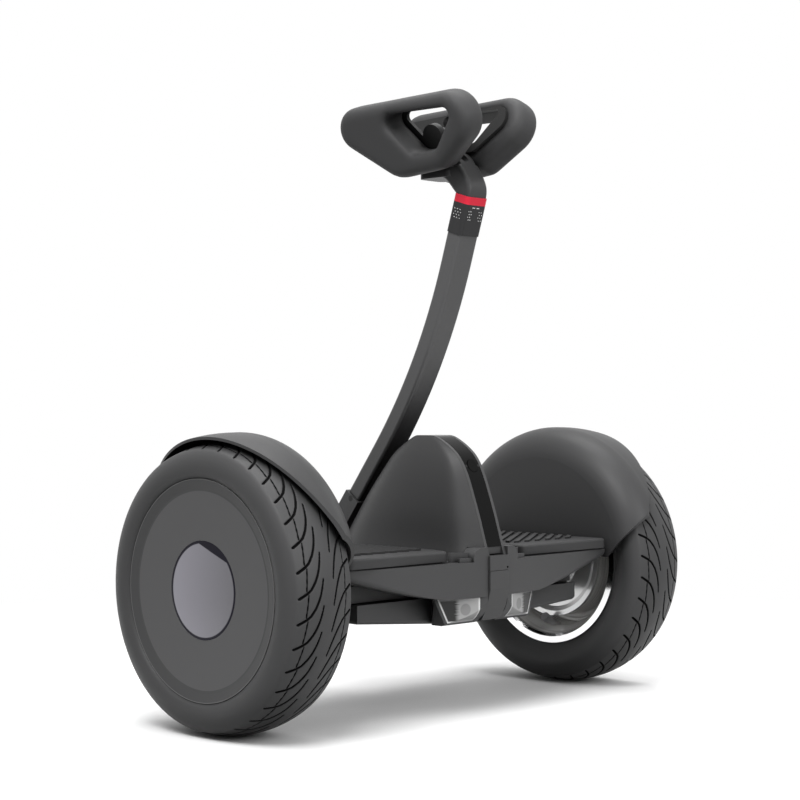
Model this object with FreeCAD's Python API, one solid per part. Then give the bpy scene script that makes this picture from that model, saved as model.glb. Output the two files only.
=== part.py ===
import FreeCAD, Part
import math
import os

# Self balancing personal transporter, in millimetres.
# X runs along the axle with +X on the rider's right, +Y is forward and +Z is up.
# The origin is on the ground, below the middle of the axle.

V = FreeCAD.Vector
OUT = "parts"

# Driving sizes of the whole object
overall_width = 548.0
tyre_diameter = 262.0
tyre_width = 74.8
deck_rise = 17.0
fender_room = 90.0
hump_height = 118.0
pad_top_height = 590.0
stem_top_drop = 95.0

# Clearances and walls shared by many pieces
running_clearance = 0.05
seam = 0.15
body_gap = 0.4
overrun = 5.0
shell_wall = 3.0

# Places that follow from the driving sizes
axle_height = tyre_diameter / 2
wheel_centre = overall_width / 2 - tyre_width / 2
deck_height = axle_height + deck_rise
deck_half = overall_width / 2 - fender_room
stem_top_height = pad_top_height - stem_top_drop

# Tyre section, from the wheel's middle plane outwards and from the axle outwards
crown_radius = tyre_diameter / 2
tyre_half = tyre_width / 2
tread_edge_radius = crown_radius - 6.0
tread_half = 31.0
sidewall_radius = crown_radius - 22.0
sidewall_foot_radius = crown_radius - 31.5
sidewall_foot = 33.6
bead_seat_radius = crown_radius - 47.0
bead_half = 26.6
bead_thickness = 5.0
tyre_wall = 7.0
tyre_floor_radius = crown_radius - 10.0

# Tread: slender hooks from each shoulder, as places across the wheel and along it in pitches
tread_pitches = 36
tread_depth = 1.6
tread_groove = 1.5
tread_hook = [(22.0, 0.0), (14.2, 0.40), (9.2, 0.90), (5.8, 1.50)]

# Rim casting with its motor drum
flange_radius = crown_radius - 42.0
flange_thickness = 3.2
flange_lip = 6.5
well_radius = crown_radius - 55.0
well_half = 15.0
seat_inner = 19.0
barrel_bore = crown_radius - 60.0
barrel_step_radius = crown_radius - 53.5
barrel_step = 8.0
drum_radius = crown_radius - 70.0
drum_wall = 4.6
drum_bore = drum_radius - drum_wall
drum_half = 22.0
plate_thickness = 4.0
boss_radius = 24.0
motor_cover_boss = 27.0
motor_cover_dish = 5.0

# Bearings of the wheels
inner_bearing_radius = 21.0
inner_bearing_width = 12.0
outer_bearing_radius = 17.5
outer_bearing_width = 10.0
bearing_face_recess = 0.6
bearing_race = 3.2

# Motor parts
magnet_thickness = 5.0
air_gap = 0.7
stator_half = 13.0
stator_teeth = 18
slot_width = 5.0
slot_depth_share = 0.217
coil_inner_share = 0.4788
coil_height = 2.2
coil_width = 5.5
hub_half = 9.0

# Axle
axle_radius = 10.0
axle_tip_radius = 8.5
axle_bore = 4.0
axle_bite = 32.0
cable_hole_radius = 3.0

# Wheel cover and hub cap
cover_radius = sidewall_foot_radius - 0.3
cover_edge = 34.1
cover_facet_radius = cover_radius - 9.2
cover_facet = 32.0
cover_face = 30.1
cover_back = 27.2
cover_rib_radius = drum_radius + 2.0
rib_thickness = 3.0
cap_radius_share = 0.336
cap_crown = 1.4
cap_wall = 3.0
cap_clip_inset = 7.0
cap_radius = cap_radius_share * crown_radius
cap_clip_radius = cap_radius - cap_clip_inset

# Valve
valve_radius = 3.6
valve_cap_radius = 4.6
valve_reach = 21.0
valve_cap_length = 8.0
valve_lean = 62.0
valve_side = -9.0

# Fender
fender_wall_face = deck_half + 6.0
fender_thickness = 2.6
fender_crease_radius = crown_radius - 23.0
fender_shoulder = 9.5
fender_shoulder_radius = crown_radius - 1.2
fender_top_face = wheel_centre - 10.6
fender_top_radius = crown_radius + 8.5
fender_lip_face = wheel_centre + 27.4
fender_lip_radius = crown_radius + 4.6
fender_plan_base = deck_half + 16.0
fender_plan_reach = 62.0
fender_plan_length = crown_radius + 0.5
fender_floor = axle_height + 8.0
fender_foot_reach = crown_radius - 38.0
fender_tip_height = axle_height + 49.0
fender_tip_round = 26.0
tab_half = 38.0
tab_bottom = axle_height - 28.0
tab_bore = 24.0
screw_radius = 2.4
screw_head_radius = 4.2
screw_head_height = 1.8
fender_screw_reach = 29.0
fender_screw_low = axle_height - 19.0
fender_screw_high = axle_height + 7.0
axle_inner_end = fender_wall_face - axle_bite

# Deck shell, seen from the front and from above
deck_bottom = axle_height - 16.0
deck_flat_share = 0.37
deck_sag_share = 0.68
deck_sag_z = axle_height - 5.4
deck_end_bottom = axle_height + 9.0
deck_end_reach = 95.0
deck_mid_share = 0.543
deck_mid_reach = 102.5
deck_centre_reach = 112.5
nose_half = 40.0
nose_reach = 88.0
nose_corner = 6.0
deck_corner = 7.0
deck_edge_round = 6.5
deck_flat_half = deck_half * deck_flat_share
deck_sag_x = deck_half * deck_sag_share
deck_mid_x = deck_half * deck_mid_share
deck_floor_half = 75.0
apron_half = 31.0
apron_shoulder = 23.0
apron_bulge = 2.4
apron_front = 96.0
apron_rear = 108.5
curb_width = 2.8
curb_rise = 4.0

# Chassis casting
chassis_half_depth = 72.0
block_inner = fender_wall_face - 34.0
block_bottom = axle_height - 34.0
plate_bottom = axle_height - 15.0
plate_top = axle_height - 11.0
rail_width = 10.0
block_corner = 4.0
clamp_half_depth = 26.0
clamp_inner = fender_wall_face - 30.0
clamp_outer = fender_wall_face - 4.0
clamp_bolt_reach = 19.0
clamp_bolt_inset = 6.0
clamp_bolt_radius = 3.0
clamp_head_radius = 5.0
clamp_head_height = 5.0
clamp_bolt_depth = 18.0
lower_block_chamfer = 8.0

# Steering shaft, its bearings, spring and stops
steer_radius = 7.5
steer_bore = 2.9
steer_bearing_radius = 12.0
steer_bearing_width = 5.0
front_block_start = 64.0
front_block_end = 84.6
rear_block_start = -72.0
rear_block_end = -50.0
bearing_block_half = 22.0
front_bearing_face = 84.0
rear_bearing_face = -52.0
shaft_rear_end = -60.0
torsion_radius = 2.25
torsion_tip = 26.0
torsion_head = 9.0
torsion_head_length = 8.0
shaft_bore_end = 30.0
lever_start = 34.0
lever_width = 10.0
lever_reach = 24.0
lever_half_height = 2.5
lever_collar = 10.0
stop_height = 2.0
stop_size = 8.0
magnet_ring_radius = 10.4
magnet_ring_start = 4.0
magnet_ring_width = 6.0
sensor_board = 1.6
sensor_size = 16.0

# Stem path and section
stem_width = 27.0
stem_depth = 18.0
stem_corner = 3.5
stem_wall = 2.2
stem_bottom_lean = 37.0
stem_top_lean = 17.3
stem_plug = 30.0
stem_foot_reach = 80.54
stem_foot_height = axle_height + 57.625
stem_rise = stem_top_height - stem_foot_height
stem_bottom_run = 0.24806 * stem_rise
stem_bend_radius = 1.95839 * stem_rise
low_lean = math.radians(stem_bottom_lean)
high_lean = math.radians(stem_top_lean)
stem_bend_rise = stem_bend_radius * (math.sin(low_lean) - math.sin(high_lean))
stem_bend_run = stem_bend_radius * (math.cos(high_lean) - math.cos(low_lean))
stem_top_run = (stem_rise - stem_bottom_run * math.cos(low_lean) - stem_bend_rise) / math.cos(high_lean)
stem_bend_reach = stem_foot_reach - stem_bottom_run * math.sin(low_lean) - stem_bend_run
stem_top_reach = stem_bend_reach - stem_top_run * math.sin(high_lean)

# Steering base
base_half = 15.5
base_depth = 20.5
boss_outer = 18.0
boss_start = 92.0
boss_end = 127.0
base_front_reach = 128.0
base_step_height = axle_height + 72.0
base_gap_to_hump = 4.0
base_notch_height = deck_height + 20.0
base_bolt_radius = 3.0

# Collar, red ring and head
collar_length = 30.0
collar_wall = 0.9
ring_height = 7.5
spigot_length = 26.0
neck_shares = [
    (0.14, 1.02, 1.40, 4.0, 0.09), (0.36, 1.08, 1.60, -10.0, 0.385), (0.465, 1.15, 1.67, -33.0, 0.63),
    (0.57, 1.22, 1.69, -38.0, 0.877), (0.90, 1.22, 1.18, -20.0, 1.0)]
neck_round = 4.5
notch_half = 5.5
barrel_reach = stem_top_reach + 32.5
barrel_height = pad_top_height - 37.0
notch_bottom = barrel_height - 20.0
lip_bottom = barrel_height - 39.5
lip_thickness = 6.5
lip_rear = barrel_reach - 20.0
lip_front = barrel_reach + 22.0
barrel_radius = 7.0
boss_half = 17.0
boss_wall = 3.0
barrel_flange_radius = 11.5
barrel_flange = 3.0

# Knee pads, each a hull of round corners in its own plane
pad_flare = 2.0
pad_lean = 18.0
pad_pivot_height = pad_top_height - 36.0
pad_rear_x = 35.0
pad_rear_y = barrel_reach - 73.3
pad_thickness = 32.0
pad_round = 10.0
pad_hole_round = 5.0
pad_length = 166.0
pad_height = 78.0
pad_drop = 40.5
pad_corner_shares = [(0.166, 0.650, 0.163), (0.298, 0.273, 0.101), (0.568, 0.418, 0.193),
                     (0.870, 0.674, 0.128)]
pad_hole_shares = [(0.178, 0.724, 0.042), (0.319, 0.455, 0.069), (0.434, 0.442, 0.069),
                   (0.566, 0.705, 0.051)]
core_inset = 4.0
core_thickness = 4.0
core_hole_round = 3.0

# Foot mats
mat_outer = deck_half - 2.0
mat_inner = 46.0
mat_inner_end = 53.0
mat_reach = 99.0
mat_taper_start = 72.0
mat_foot_height = 1.6
mat_foot_inset = 4.0
mat_plate_height = 9.4
mat_rib_height = 2.0
mat_rib_width = 4.2
mat_rib_pitch = 11.0
mat_rib_margin = 12.0
mat_rib_end_margin = 24.0
mat_rib_slant = 35.0
mat_corner = 6.0
mat_edge_round = 2.5

# Hump sections: height, rear reach, front reach and half width as shares
hump_rear = 113.0
hump_front = 86.0
hump_half_width = 43.0
spine_half = 13.7
hump_shares = [
    (0.000, 1.000, 1.000, 1.000), (0.045, 0.981, 0.974, 0.940), (0.110, 0.956, 0.930, 0.880),
    (0.322, 0.885, 0.735, 0.780), (0.534, 0.805, 0.512, 0.690), (0.746, 0.708, 0.262, 0.585),
    (0.839, 0.637, 0.140, 0.520), (0.907, 0.549, 0.012, 0.455), (0.966, 0.442, -0.128, 0.385),
    (0.995, 0.345, -0.232, 0.330)]
hump_side_shares = [
    (0.0, -1.0), (0.30, -0.925), (0.60, -0.85), (0.80, -0.72), (0.94, -0.45), (1.02, -0.05), (1.02, 0.35),
    (0.70, 0.80), (0.0, 1.0)]
strip_half = 10.0
strip_bottom = deck_height + 13.0
strip_front_end = 6.0
band_bottom = deck_height + 5.0
band_reach = 107.4
reset_hole_radius = 1.2
reset_hole_reach = 11.0
reset_hole_depth = 3.5

# Power button on the strip
button_height = deck_height + 89.0
button_reach = -80.3
button_radius = 6.4
button_travel = 1.2
button_depth = 5.0
button_lean = 23.0
switch_size = 6.0
switch_depth = 4.0
switch_post = 1.4
switch_post_reach = 8.4

# Tail housing, lamps and the flap of the charging port
housing_top = deck_bottom
housing_bottom = axle_height - 41.5
housing_half_top = 71.0
housing_end_inner = 57.0
housing_half_bottom = 59.0
housing_round = 9.0
lamp_inner = 22.5
lamp_outer_top = 67.5
lamp_outer_bottom = 57.0
lamp_bottom = housing_bottom + 2.5
lamp_top = housing_top - 0.4
lamp_depth = 9.0
lamp_wall = 2.0
lamp_board_thickness = 1.6
flap_half = 13.5
flap_top = axle_height + 7.7
flap_face = 115.0
flap_mid_height = axle_height - 10.0
flap_knee_reach = 110.5
flap_knee_height = axle_height - 26.0
flap_thickness = 2.6
flap_pin_reach = 101.0
flap_pin_height = axle_height - 35.5
flap_knuckle = 4.0
flap_pin_radius = 1.2
socket_radius = 8.0
socket_bore = 5.5
socket_pin = 1.3
socket_pin_start = 10.0
socket_height = axle_height - 7.0
socket_length = 18.0
socket_mouth = 108.0

# Battery case
battery_half = block_inner - 2.0
battery_half_depth = 80.0
battery_top = axle_height - 16.4
battery_bottom_edge = axle_height - 33.5
battery_bottom = axle_height - 41.5
battery_flat_share = 0.325
battery_flat_half = battery_flat_share * battery_half
battery_wall = 2.5
battery_round = 4.0
cell_radius = 9.0
cell_length = 65.0
cell_columns = 8

# Control board in the hump
board_thickness = 1.6
board_rear = -66.0
board_front = 28.0
board_bottom = deck_height
board_top = deck_height + 74.0
capacitor_radius = 8.0
capacitor_length = 9.0
capacitor_places_shares = [(0.25, 0.30), (0.52, 0.30), (0.25, 0.62)]

# Front housing with the headlamp
headlamp_half = 22.0
headlamp_top = axle_height - 19.0
headlamp_bottom = axle_height - 35.0


def save(name, shape):
    """Write one piece to its own file."""
    shape.exportStep(os.path.join(OUT, name + ".step"))


def mirrored(shape):
    return shape.mirror(V(0, 0, 0), V(1, 0, 0))


def save_pair(name, shape):
    """The shape is the right-hand one; the left-hand one is its mirror image."""
    save(name + "_right", shape)
    save(name + "_left", mirrored(shape))


def save_both(name, shape):
    """A right-hand piece and its mirror image, kept together as separate solids."""
    save(name, Part.makeCompound([shape, mirrored(shape)]))


def box(x0, x1, y0, y1, z0, z1):
    return Part.makeBox(x1 - x0, y1 - y0, z1 - z0, V(x0, y0, z0))


def joined(shapes):
    """One solid from shapes that touch or overlap."""
    result = shapes[0]
    for other in shapes[1:]:
        result = result.fuse(other)
    return result.removeSplitter()


def line(a, b):
    return Part.LineSegment(a, b).toShape()


def arc(a, middle, b):
    return Part.Arc(a, middle, b).toShape()


def closed_wire(points):
    """A polygon in which a point given as a pair (middle, end) ends an arc."""
    edges = []
    here = points[0]
    for step in points[1:] + [points[0]]:
        if isinstance(step, tuple):
            edges.append(arc(here, step[0], step[1]))
            here = step[1]
        else:
            if here.distanceToPoint(step) > seam / 100:
                edges.append(line(here, step))
            here = step
    return Part.Wire(edges)


def prism(points, along):
    return Part.Face(closed_wire(points)).extrude(along)


def lathe(points):
    """Turn a section of (x, radius) points round the axle; a pair is an arc."""
    def place(p):
        return V(p[0], 0, axle_height + p[1])
    steps = []
    for p in points:
        if isinstance(p[0], tuple):
            steps.append((place(p[0]), place(p[1])))
        else:
            steps.append(place(p))
    face = Part.Face(closed_wire(steps))
    return face.revolve(V(0, 0, axle_height), V(1, 0, 0), 360)


def tube_x(outer, inner, x0, x1):
    return lathe([(x0, inner), (x1, inner), (x1, outer), (x0, outer)])


def rod(start, along, radius, length):
    return Part.makeCylinder(radius, length, start, along)


def rod_y(radius, y0, y1, x=0, z=axle_height):
    return rod(V(x, y0, z), V(0, 1, 0), radius, y1 - y0)


def round_edges(shape, radius, chosen):
    """Round the edges that the test picks."""
    edges = [e for e in shape.Edges if chosen(e)]
    return shape.makeFillet(radius, edges)


def hull_wire(circles, place):
    """The outline round a counter-clockwise ring of circles (u, v, radius)."""
    normals = []
    count = len(circles)
    for i, (u, v, r) in enumerate(circles):
        u2, v2, r2 = circles[(i + 1) % count]
        way = math.atan2(v2 - v, u2 - u)
        normals.append(way - math.acos((r - r2) / math.hypot(u2 - u, v2 - v)))

    def at(i, angle):
        u, v, r = circles[i]
        return place(u + r * math.cos(angle), v + r * math.sin(angle))

    edges = []
    for i in range(count):
        before = normals[i - 1]
        turn = (normals[i] - before) % (2 * math.pi)
        edges.append(arc(at(i, before), at(i, before + turn / 2), at(i, before + turn)))
        edges.append(line(at(i, normals[i]), at((i + 1) % count, normals[i])))
    return Part.Wire(edges)


def wheel_x(x):
    """A place across the wheel, measured from its middle plane."""
    return wheel_centre + x


def section(points):
    """Wheel section points, moved out to the wheel's middle plane."""
    moved = []
    for p in points:
        if isinstance(p[0], tuple):
            moved.append(tuple((wheel_x(q[0]), q[1]) for q in p))
        else:
            moved.append((wheel_x(p[0]), p[1]))
    return moved


def tread_hook_outline():
    """Both sides of one slender hook, seen from outside with the tyre's crown flattened."""
    pitch = 2 * math.pi * crown_radius / tread_pitches
    start = tread_hook[-1][1] * pitch / 2
    path = [V(x, along * pitch - start, 0) for x, along in tread_hook]
    left, right = [], []
    for i, place in enumerate(path):
        ahead = (path[min(i + 1, len(path) - 1)] - path[max(i - 1, 0)]).normalize()
        side = V(-ahead.y, ahead.x, 0) * (tread_groove / 2)
        left.append(place + side)
        right.append(place - side)
    return [V(wheel_x(p.x), p.y, axle_height + tread_edge_radius - overrun) for p in left + right[::-1]]


def tread():
    """Every groove of the tread, those of the inner half turned end for end."""
    layer = lathe(section([
        (-tread_half, tread_edge_radius - tread_depth),
        ((0, crown_radius - tread_depth), (tread_half, tread_edge_radius - tread_depth)),
        (tread_half, crown_radius + overrun), (-tread_half, crown_radius + overrun)]))
    groove = prism(tread_hook_outline(), V(0, 0, 3 * overrun)).common(layer)
    opposite = groove.copy()
    opposite.rotate(V(wheel_centre, 0, 0), V(0, 0, 1), 180)
    opposite.rotate(V(0, 0, axle_height), V(1, 0, 0), 180.0 / tread_pitches)
    grooves = []
    for i in range(tread_pitches):
        for shape in (groove, opposite):
            turned = shape.copy()
            turned.rotate(V(0, 0, axle_height), V(1, 0, 0), 360.0 * i / tread_pitches)
            grooves.append(turned)
    return Part.makeCompound(grooves)


def tyre():
    tread_foot = (tyre_half + tread_half) / 2
    shoulder_radius = (tread_edge_radius + sidewall_radius) / 2
    outer = [
        (-bead_half, bead_seat_radius), (-bead_half, flange_radius), (-sidewall_foot, sidewall_foot_radius),
        ((-tyre_half, sidewall_radius), (-tread_foot, shoulder_radius + bead_thickness / 2)),
        (-tread_half, tread_edge_radius), ((0, crown_radius), (tread_half, tread_edge_radius)),
        (tread_foot, shoulder_radius + bead_thickness / 2),
        ((tyre_half, sidewall_radius), (sidewall_foot, sidewall_foot_radius)),
        (bead_half + flange_thickness, sidewall_foot_radius),
        (bead_half + flange_thickness, flange_radius + seam),
        (bead_half, flange_radius + seam), (bead_half, bead_seat_radius)]
    inner_half = tyre_half - tyre_wall
    inner = [
        (bead_half - bead_thickness, bead_seat_radius), (inner_half, sidewall_radius),
        (tread_half - tyre_wall, tyre_floor_radius), (-tread_half + tyre_wall, tyre_floor_radius),
        (-inner_half, sidewall_radius), (-bead_half + bead_thickness, bead_seat_radius)]
    return lathe(section(outer + inner)).cut(tread())


def rim():
    web_x = drum_half - plate_thickness
    end = bead_half + flange_thickness
    profile = [
        (-end, flange_radius), (-bead_half, flange_radius), (-bead_half, bead_seat_radius),
        (-seat_inner, bead_seat_radius), (-well_half, well_radius), (well_half, well_radius),
        (seat_inner, bead_seat_radius), (bead_half, bead_seat_radius), (bead_half, flange_radius),
        (end, flange_radius), (end, bead_seat_radius), (drum_half, barrel_step_radius),
        (drum_half, outer_bearing_radius - bearing_race), (web_x, outer_bearing_radius - bearing_race),
        (web_x, outer_bearing_radius), (web_x - outer_bearing_width, outer_bearing_radius),
        (web_x - outer_bearing_width, boss_radius), (web_x, boss_radius), (web_x, drum_bore),
        (-web_x, drum_bore), (-web_x, drum_radius), (web_x - plate_thickness, drum_radius),
        (web_x - plate_thickness, barrel_bore), (-barrel_step, barrel_bore),
        (-well_half, barrel_step_radius - plate_thickness),
        (-well_half - barrel_step / 2, barrel_step_radius),
        (-bead_half, bead_seat_radius - plate_thickness), (-end, flange_radius - flange_lip)]
    return lathe(section(profile))


def motor_cover():
    inner_x = -drum_half + plate_thickness
    profile = [
        (-drum_half, drum_radius), (inner_x, drum_radius), (inner_x, drum_bore - seam),
        (inner_x + plate_thickness / 2, drum_bore - seam),
        (inner_x + plate_thickness / 2, motor_cover_boss),
        (inner_x + plate_thickness, motor_cover_boss), (inner_x + plate_thickness, inner_bearing_radius),
        (inner_x + plate_thickness - inner_bearing_width, inner_bearing_radius),
        (inner_x + plate_thickness - inner_bearing_width, inner_bearing_radius - bearing_race),
        (inner_x + plate_thickness - inner_bearing_width - bearing_race / 2,
         inner_bearing_radius - bearing_race),
        (inner_x + plate_thickness - inner_bearing_width - bearing_race / 2, motor_cover_boss),
        (-drum_half + motor_cover_dish / 2, motor_cover_boss + motor_cover_dish),
        (-drum_half + motor_cover_dish / 2, drum_radius - 2 * motor_cover_dish),
        (-drum_half, drum_radius - motor_cover_dish)]
    return lathe(section(profile))


def bearing(x0, width, outer, inner):
    lip = x0 + bearing_face_recess
    far = x0 + width - bearing_face_recess
    return lathe(section([
        (x0, inner), (x0, inner + bearing_race), (lip, inner + bearing_race), (lip, outer - bearing_race),
        (x0, outer - bearing_race), (x0, outer), (x0 + width, outer), (x0 + width, outer - bearing_race),
        (far, outer - bearing_race), (far, inner + bearing_race), (x0 + width, inner + bearing_race),
        (x0 + width, inner)]))


def wheel_bearings():
    inner_start = -drum_half + 2 * plate_thickness - inner_bearing_width
    inboard = bearing(inner_start, inner_bearing_width, inner_bearing_radius,
                      axle_radius + running_clearance)
    outer_start = drum_half - plate_thickness - outer_bearing_width
    outboard = bearing(outer_start, outer_bearing_width, outer_bearing_radius,
                       axle_tip_radius + running_clearance)
    return Part.makeCompound([inboard, outboard])


def magnet_ring():
    return tube_x(drum_bore, drum_bore - magnet_thickness, wheel_x(-stator_half), wheel_x(stator_half))


def stator():
    radius = drum_bore - magnet_thickness - air_gap
    slot_depth = slot_depth_share * radius
    coil_inner = coil_inner_share * drum_bore
    core = tube_x(radius, coil_inner, wheel_x(-stator_half), wheel_x(stator_half))
    hub = tube_x(coil_inner, axle_radius, wheel_x(-hub_half), wheel_x(hub_half - plate_thickness))
    slots = []
    for i in range(stator_teeth):
        slot = box(wheel_x(-stator_half - overrun), wheel_x(stator_half + overrun), -slot_width / 2,
                   slot_width / 2,
                   axle_height + radius - slot_depth, axle_height + radius - air_gap * 2)
        slot.rotate(V(0, 0, axle_height), V(1, 0, 0), 360.0 * i / stator_teeth)
        slots.append(slot)
    core = core.cut(Part.makeCompound(slots))
    left_coil = tube_x(coil_inner + coil_width, coil_inner, wheel_x(-stator_half - coil_height),
                       wheel_x(-stator_half))
    right_coil = tube_x(coil_inner + coil_width, coil_inner, wheel_x(stator_half),
                        wheel_x(stator_half + coil_height))
    return joined([core, hub, left_coil, right_coil])


def axle():
    end_x = drum_half - plate_thickness
    tip_start = end_x - outer_bearing_width - bearing_race
    solid = lathe([
        (axle_inner_end, axle_bore), (wheel_x(end_x), axle_bore), (wheel_x(end_x), axle_tip_radius),
        (wheel_x(tip_start), axle_tip_radius), (wheel_x(tip_start), axle_radius),
        (axle_inner_end, axle_radius)])
    window = rod(V(wheel_x(-stator_half - coil_height), 0, axle_height), V(0, 0, 1), cable_hole_radius,
                 axle_radius + overrun)
    return solid.cut(window)


def wheel_cover():
    return lathe(section([
        (cover_back, cap_radius + seam), (cover_face, cap_radius + seam), (cover_facet, cover_facet_radius),
        (cover_edge, cover_radius), (bead_half + flange_thickness + seam, cover_radius),
        (bead_half + flange_thickness + seam, bead_seat_radius),
        (cover_back, bead_seat_radius - rib_thickness),
        (cover_back, cover_rib_radius), (drum_half, cover_rib_radius),
        (drum_half, cover_rib_radius - rib_thickness),
        (cover_back, cover_rib_radius - rib_thickness)]))


def hub_cap():
    face = cover_face - seam
    return lathe(section([
        (face - cap_wall, 0), (face + cap_crown, 0),
        ((face + cap_crown * 3 / 4, cap_radius / 2), (face, cap_radius)),
        (face - cap_wall, cap_radius), (face - cap_wall, cap_clip_radius), (drum_half, cap_clip_radius),
        (drum_half, cap_clip_radius - rib_thickness), (face - cap_wall, cap_clip_radius - rib_thickness)]))


def valve():
    lean = math.radians(valve_lean)
    start = V(wheel_x(valve_side), 0, axle_height - barrel_bore - valve_radius)
    along = V(-math.sin(lean), 0, math.cos(lean))
    stem = rod(start, along, valve_radius, valve_reach)
    cap = rod(start + along * valve_reach, along, valve_cap_radius, valve_cap_length)
    floor = lathe(section([
        (-drum_half - valve_reach, barrel_bore), (well_half, barrel_bore), (well_half, well_radius),
        (-drum_half - valve_reach, well_radius)]))
    return joined([stem, cap]).cut(floor).cut(rim())


def fender():
    inner_face = fender_wall_face + fender_thickness
    thin = fender_thickness
    shell = lathe([
        (fender_wall_face, tab_bore), (fender_wall_face, fender_crease_radius),
        ((fender_wall_face + fender_shoulder, fender_shoulder_radius),
         (fender_top_face, fender_top_radius)),
        ((fender_top_face / 2 + fender_lip_face / 2, fender_top_radius - thin / 3),
         (fender_lip_face, fender_lip_radius)),
        (fender_lip_face, fender_lip_radius - thin),
        ((fender_top_face / 2 + fender_lip_face / 2, fender_top_radius - thin / 3 - thin),
         (fender_top_face, fender_top_radius - thin)),
        ((inner_face + fender_shoulder, fender_shoulder_radius - thin), (inner_face, fender_crease_radius)),
        (inner_face, tab_bore)])
    ellipse = Part.Ellipse(V(fender_plan_base, 0, 0), fender_plan_length, fender_plan_reach).toShape()
    ellipse.rotate(V(fender_plan_base, 0, 0), V(0, 0, 1), 90)
    tall = 2 * tyre_diameter
    plan = Part.Face(Part.Wire(ellipse)).extrude(V(0, 0, tall))
    plan = plan.fuse(box(fender_wall_face - overrun, fender_plan_base, -tyre_diameter, tyre_diameter, 0,
                         tall))
    foot = V(0, fender_foot_reach, fender_floor)
    tip = V(0, fender_plan_length + seam, fender_tip_height)
    turn_start = tip + (foot - tip).normalize() * fender_tip_round
    turn_end = tip + V(0, 0, fender_tip_round)
    turn_middle = tip / 2 + (turn_start + turn_end) / 4
    rear = [V(0, -p.y, p.z) for p in (turn_end, turn_middle, turn_start, foot)]
    above = prism([
        V(0, -tab_half, tab_bottom), V(0, tab_half, tab_bottom), V(0, tab_half, fender_floor), foot,
        turn_start,
        (turn_middle, turn_end), V(0, turn_end.y, tall), V(0, rear[0].y, tall), rear[0], (rear[1], rear[2]),
        rear[3], V(0, -tab_half, fender_floor)], V(overall_width, 0, 0))
    body = shell.common(plan).common(above)
    holes = [rod(V(fender_wall_face - overrun, y, z), V(1, 0, 0), screw_radius, 3 * overrun)
             for y, z in fender_screw_places()]
    return body.cut(Part.makeCompound(holes))


def fender_screw_places():
    return [(sy * fender_screw_reach, z) for sy in (-1, 1) for z in (fender_screw_low, fender_screw_high)]


def fender_screws():
    """Pan head screws through both fenders into the chassis blocks."""
    screws = []
    for y, z in fender_screw_places():
        face = fender_wall_face + fender_thickness
        head = rod(V(face, y, z), V(1, 0, 0), screw_head_radius, screw_head_height)
        shank = rod(V(face - 3 * overrun, y, z), V(1, 0, 0), screw_radius, 3 * overrun)
        screw = joined([head, shank])
        screws += [screw, mirrored(screw)]
    return Part.makeCompound(screws)


def deck_front_view(inset):
    """Outline of the deck seen from the front, drawn inside its walls by the inset."""
    half = deck_half - inset
    top = deck_height - inset
    low = deck_bottom + inset
    end = deck_end_bottom + inset
    depth = deck_centre_reach + overrun
    return prism([
        V(-deck_flat_half, -depth, low), V(deck_flat_half, -depth, low),
        (V(deck_sag_x, -depth, deck_sag_z + inset), V(half, -depth, end)), V(half, -depth, top),
        V(-half, -depth, top), V(-half, -depth, end),
        (V(-deck_sag_x, -depth, deck_sag_z + inset), V(-deck_flat_half, -depth, low))], V(0, 2 * depth, 0))


def deck_plan(inset):
    """Outline of the deck from above, set back at the front where the steering base stands."""
    half = deck_half - inset
    end = deck_end_reach - inset
    rear = deck_centre_reach - inset
    middle = deck_mid_reach - inset
    front_end = nose_half + deck_corner + inset
    return prism([
        V(-half, -end, 0), (V(-deck_mid_x, -middle, 0), V(-spine_half, -rear, 0)), V(spine_half, -rear, 0),
        (V(deck_mid_x, -middle, 0), V(half, -end, 0)), V(half, end, 0),
        (V(deck_mid_x + nose_half / 2, middle - nose_corner / 2, 0), V(front_end, middle, 0)),
        V(nose_half + inset, nose_reach - inset, 0), V(-nose_half - inset, nose_reach - inset, 0),
        V(-front_end, middle, 0),
        (V(-deck_mid_x - nose_half / 2, middle - nose_corner / 2, 0), V(-half, end, 0))],
        V(0, 0, tyre_diameter))


def long_low_edge(edge, side):
    """Whether an edge is one of the deck's long lower edges that rise to its ends."""
    bounds = edge.BoundBox
    return (bounds.ZMax < deck_height - overrun and bounds.XLength > deck_flat_half / 2
            and bounds.ZLength > 2 * overrun and bounds.Center.x * side > 0)


def deck_shell():
    outer = deck_front_view(0).common(deck_plan(0))
    for side in (-1, 1):
        radii = (seam, deck_edge_round) if side > 0 else (deck_edge_round, seam)
        for edge_y in (-1, 1):
            chosen = [e for e in outer.Edges if long_low_edge(e, side) and e.BoundBox.Center.y * edge_y > 0]
            forward = chosen[0].Vertexes[0].Point.x < chosen[0].Vertexes[-1].Point.x
            outer = outer.makeFillet(*(radii if forward else radii[::-1]), chosen)
    inner = deck_front_view(shell_wall).common(deck_plan(shell_wall))
    shell = outer.cut(inner)
    reach = deck_half - shell_wall
    floor_hole = box(-reach, reach, -deck_floor_half, deck_floor_half, 0, deck_height - shell_wall)
    shell = shell.cut(floor_hole)
    end_notch = box(reach - overrun, deck_half + overrun, -tab_half, tab_half, 0, deck_height - shell_wall)
    block_notch = box(-bearing_block_half - body_gap, bearing_block_half + body_gap, 0,
                      front_block_end + body_gap, 0,
                      deck_height - shell_wall)
    shell = shell.cut(end_notch).cut(mirrored(end_notch)).cut(block_notch)
    shaft_hole = rod_y(steer_radius + 2 * shell_wall, nose_reach - 2 * overrun, nose_reach + overrun)
    flap_slot = box(-spine_half - seam, spine_half + seam, -deck_centre_reach - overrun,
                    -deck_floor_half - shell_wall, 0, deck_height - shell_wall)
    foot = apron().common(deck_plan(0))
    shell = joined([shell, foot, mirrored(foot)])
    return shell.cut(shaft_hole).cut(flap_slot)


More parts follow.
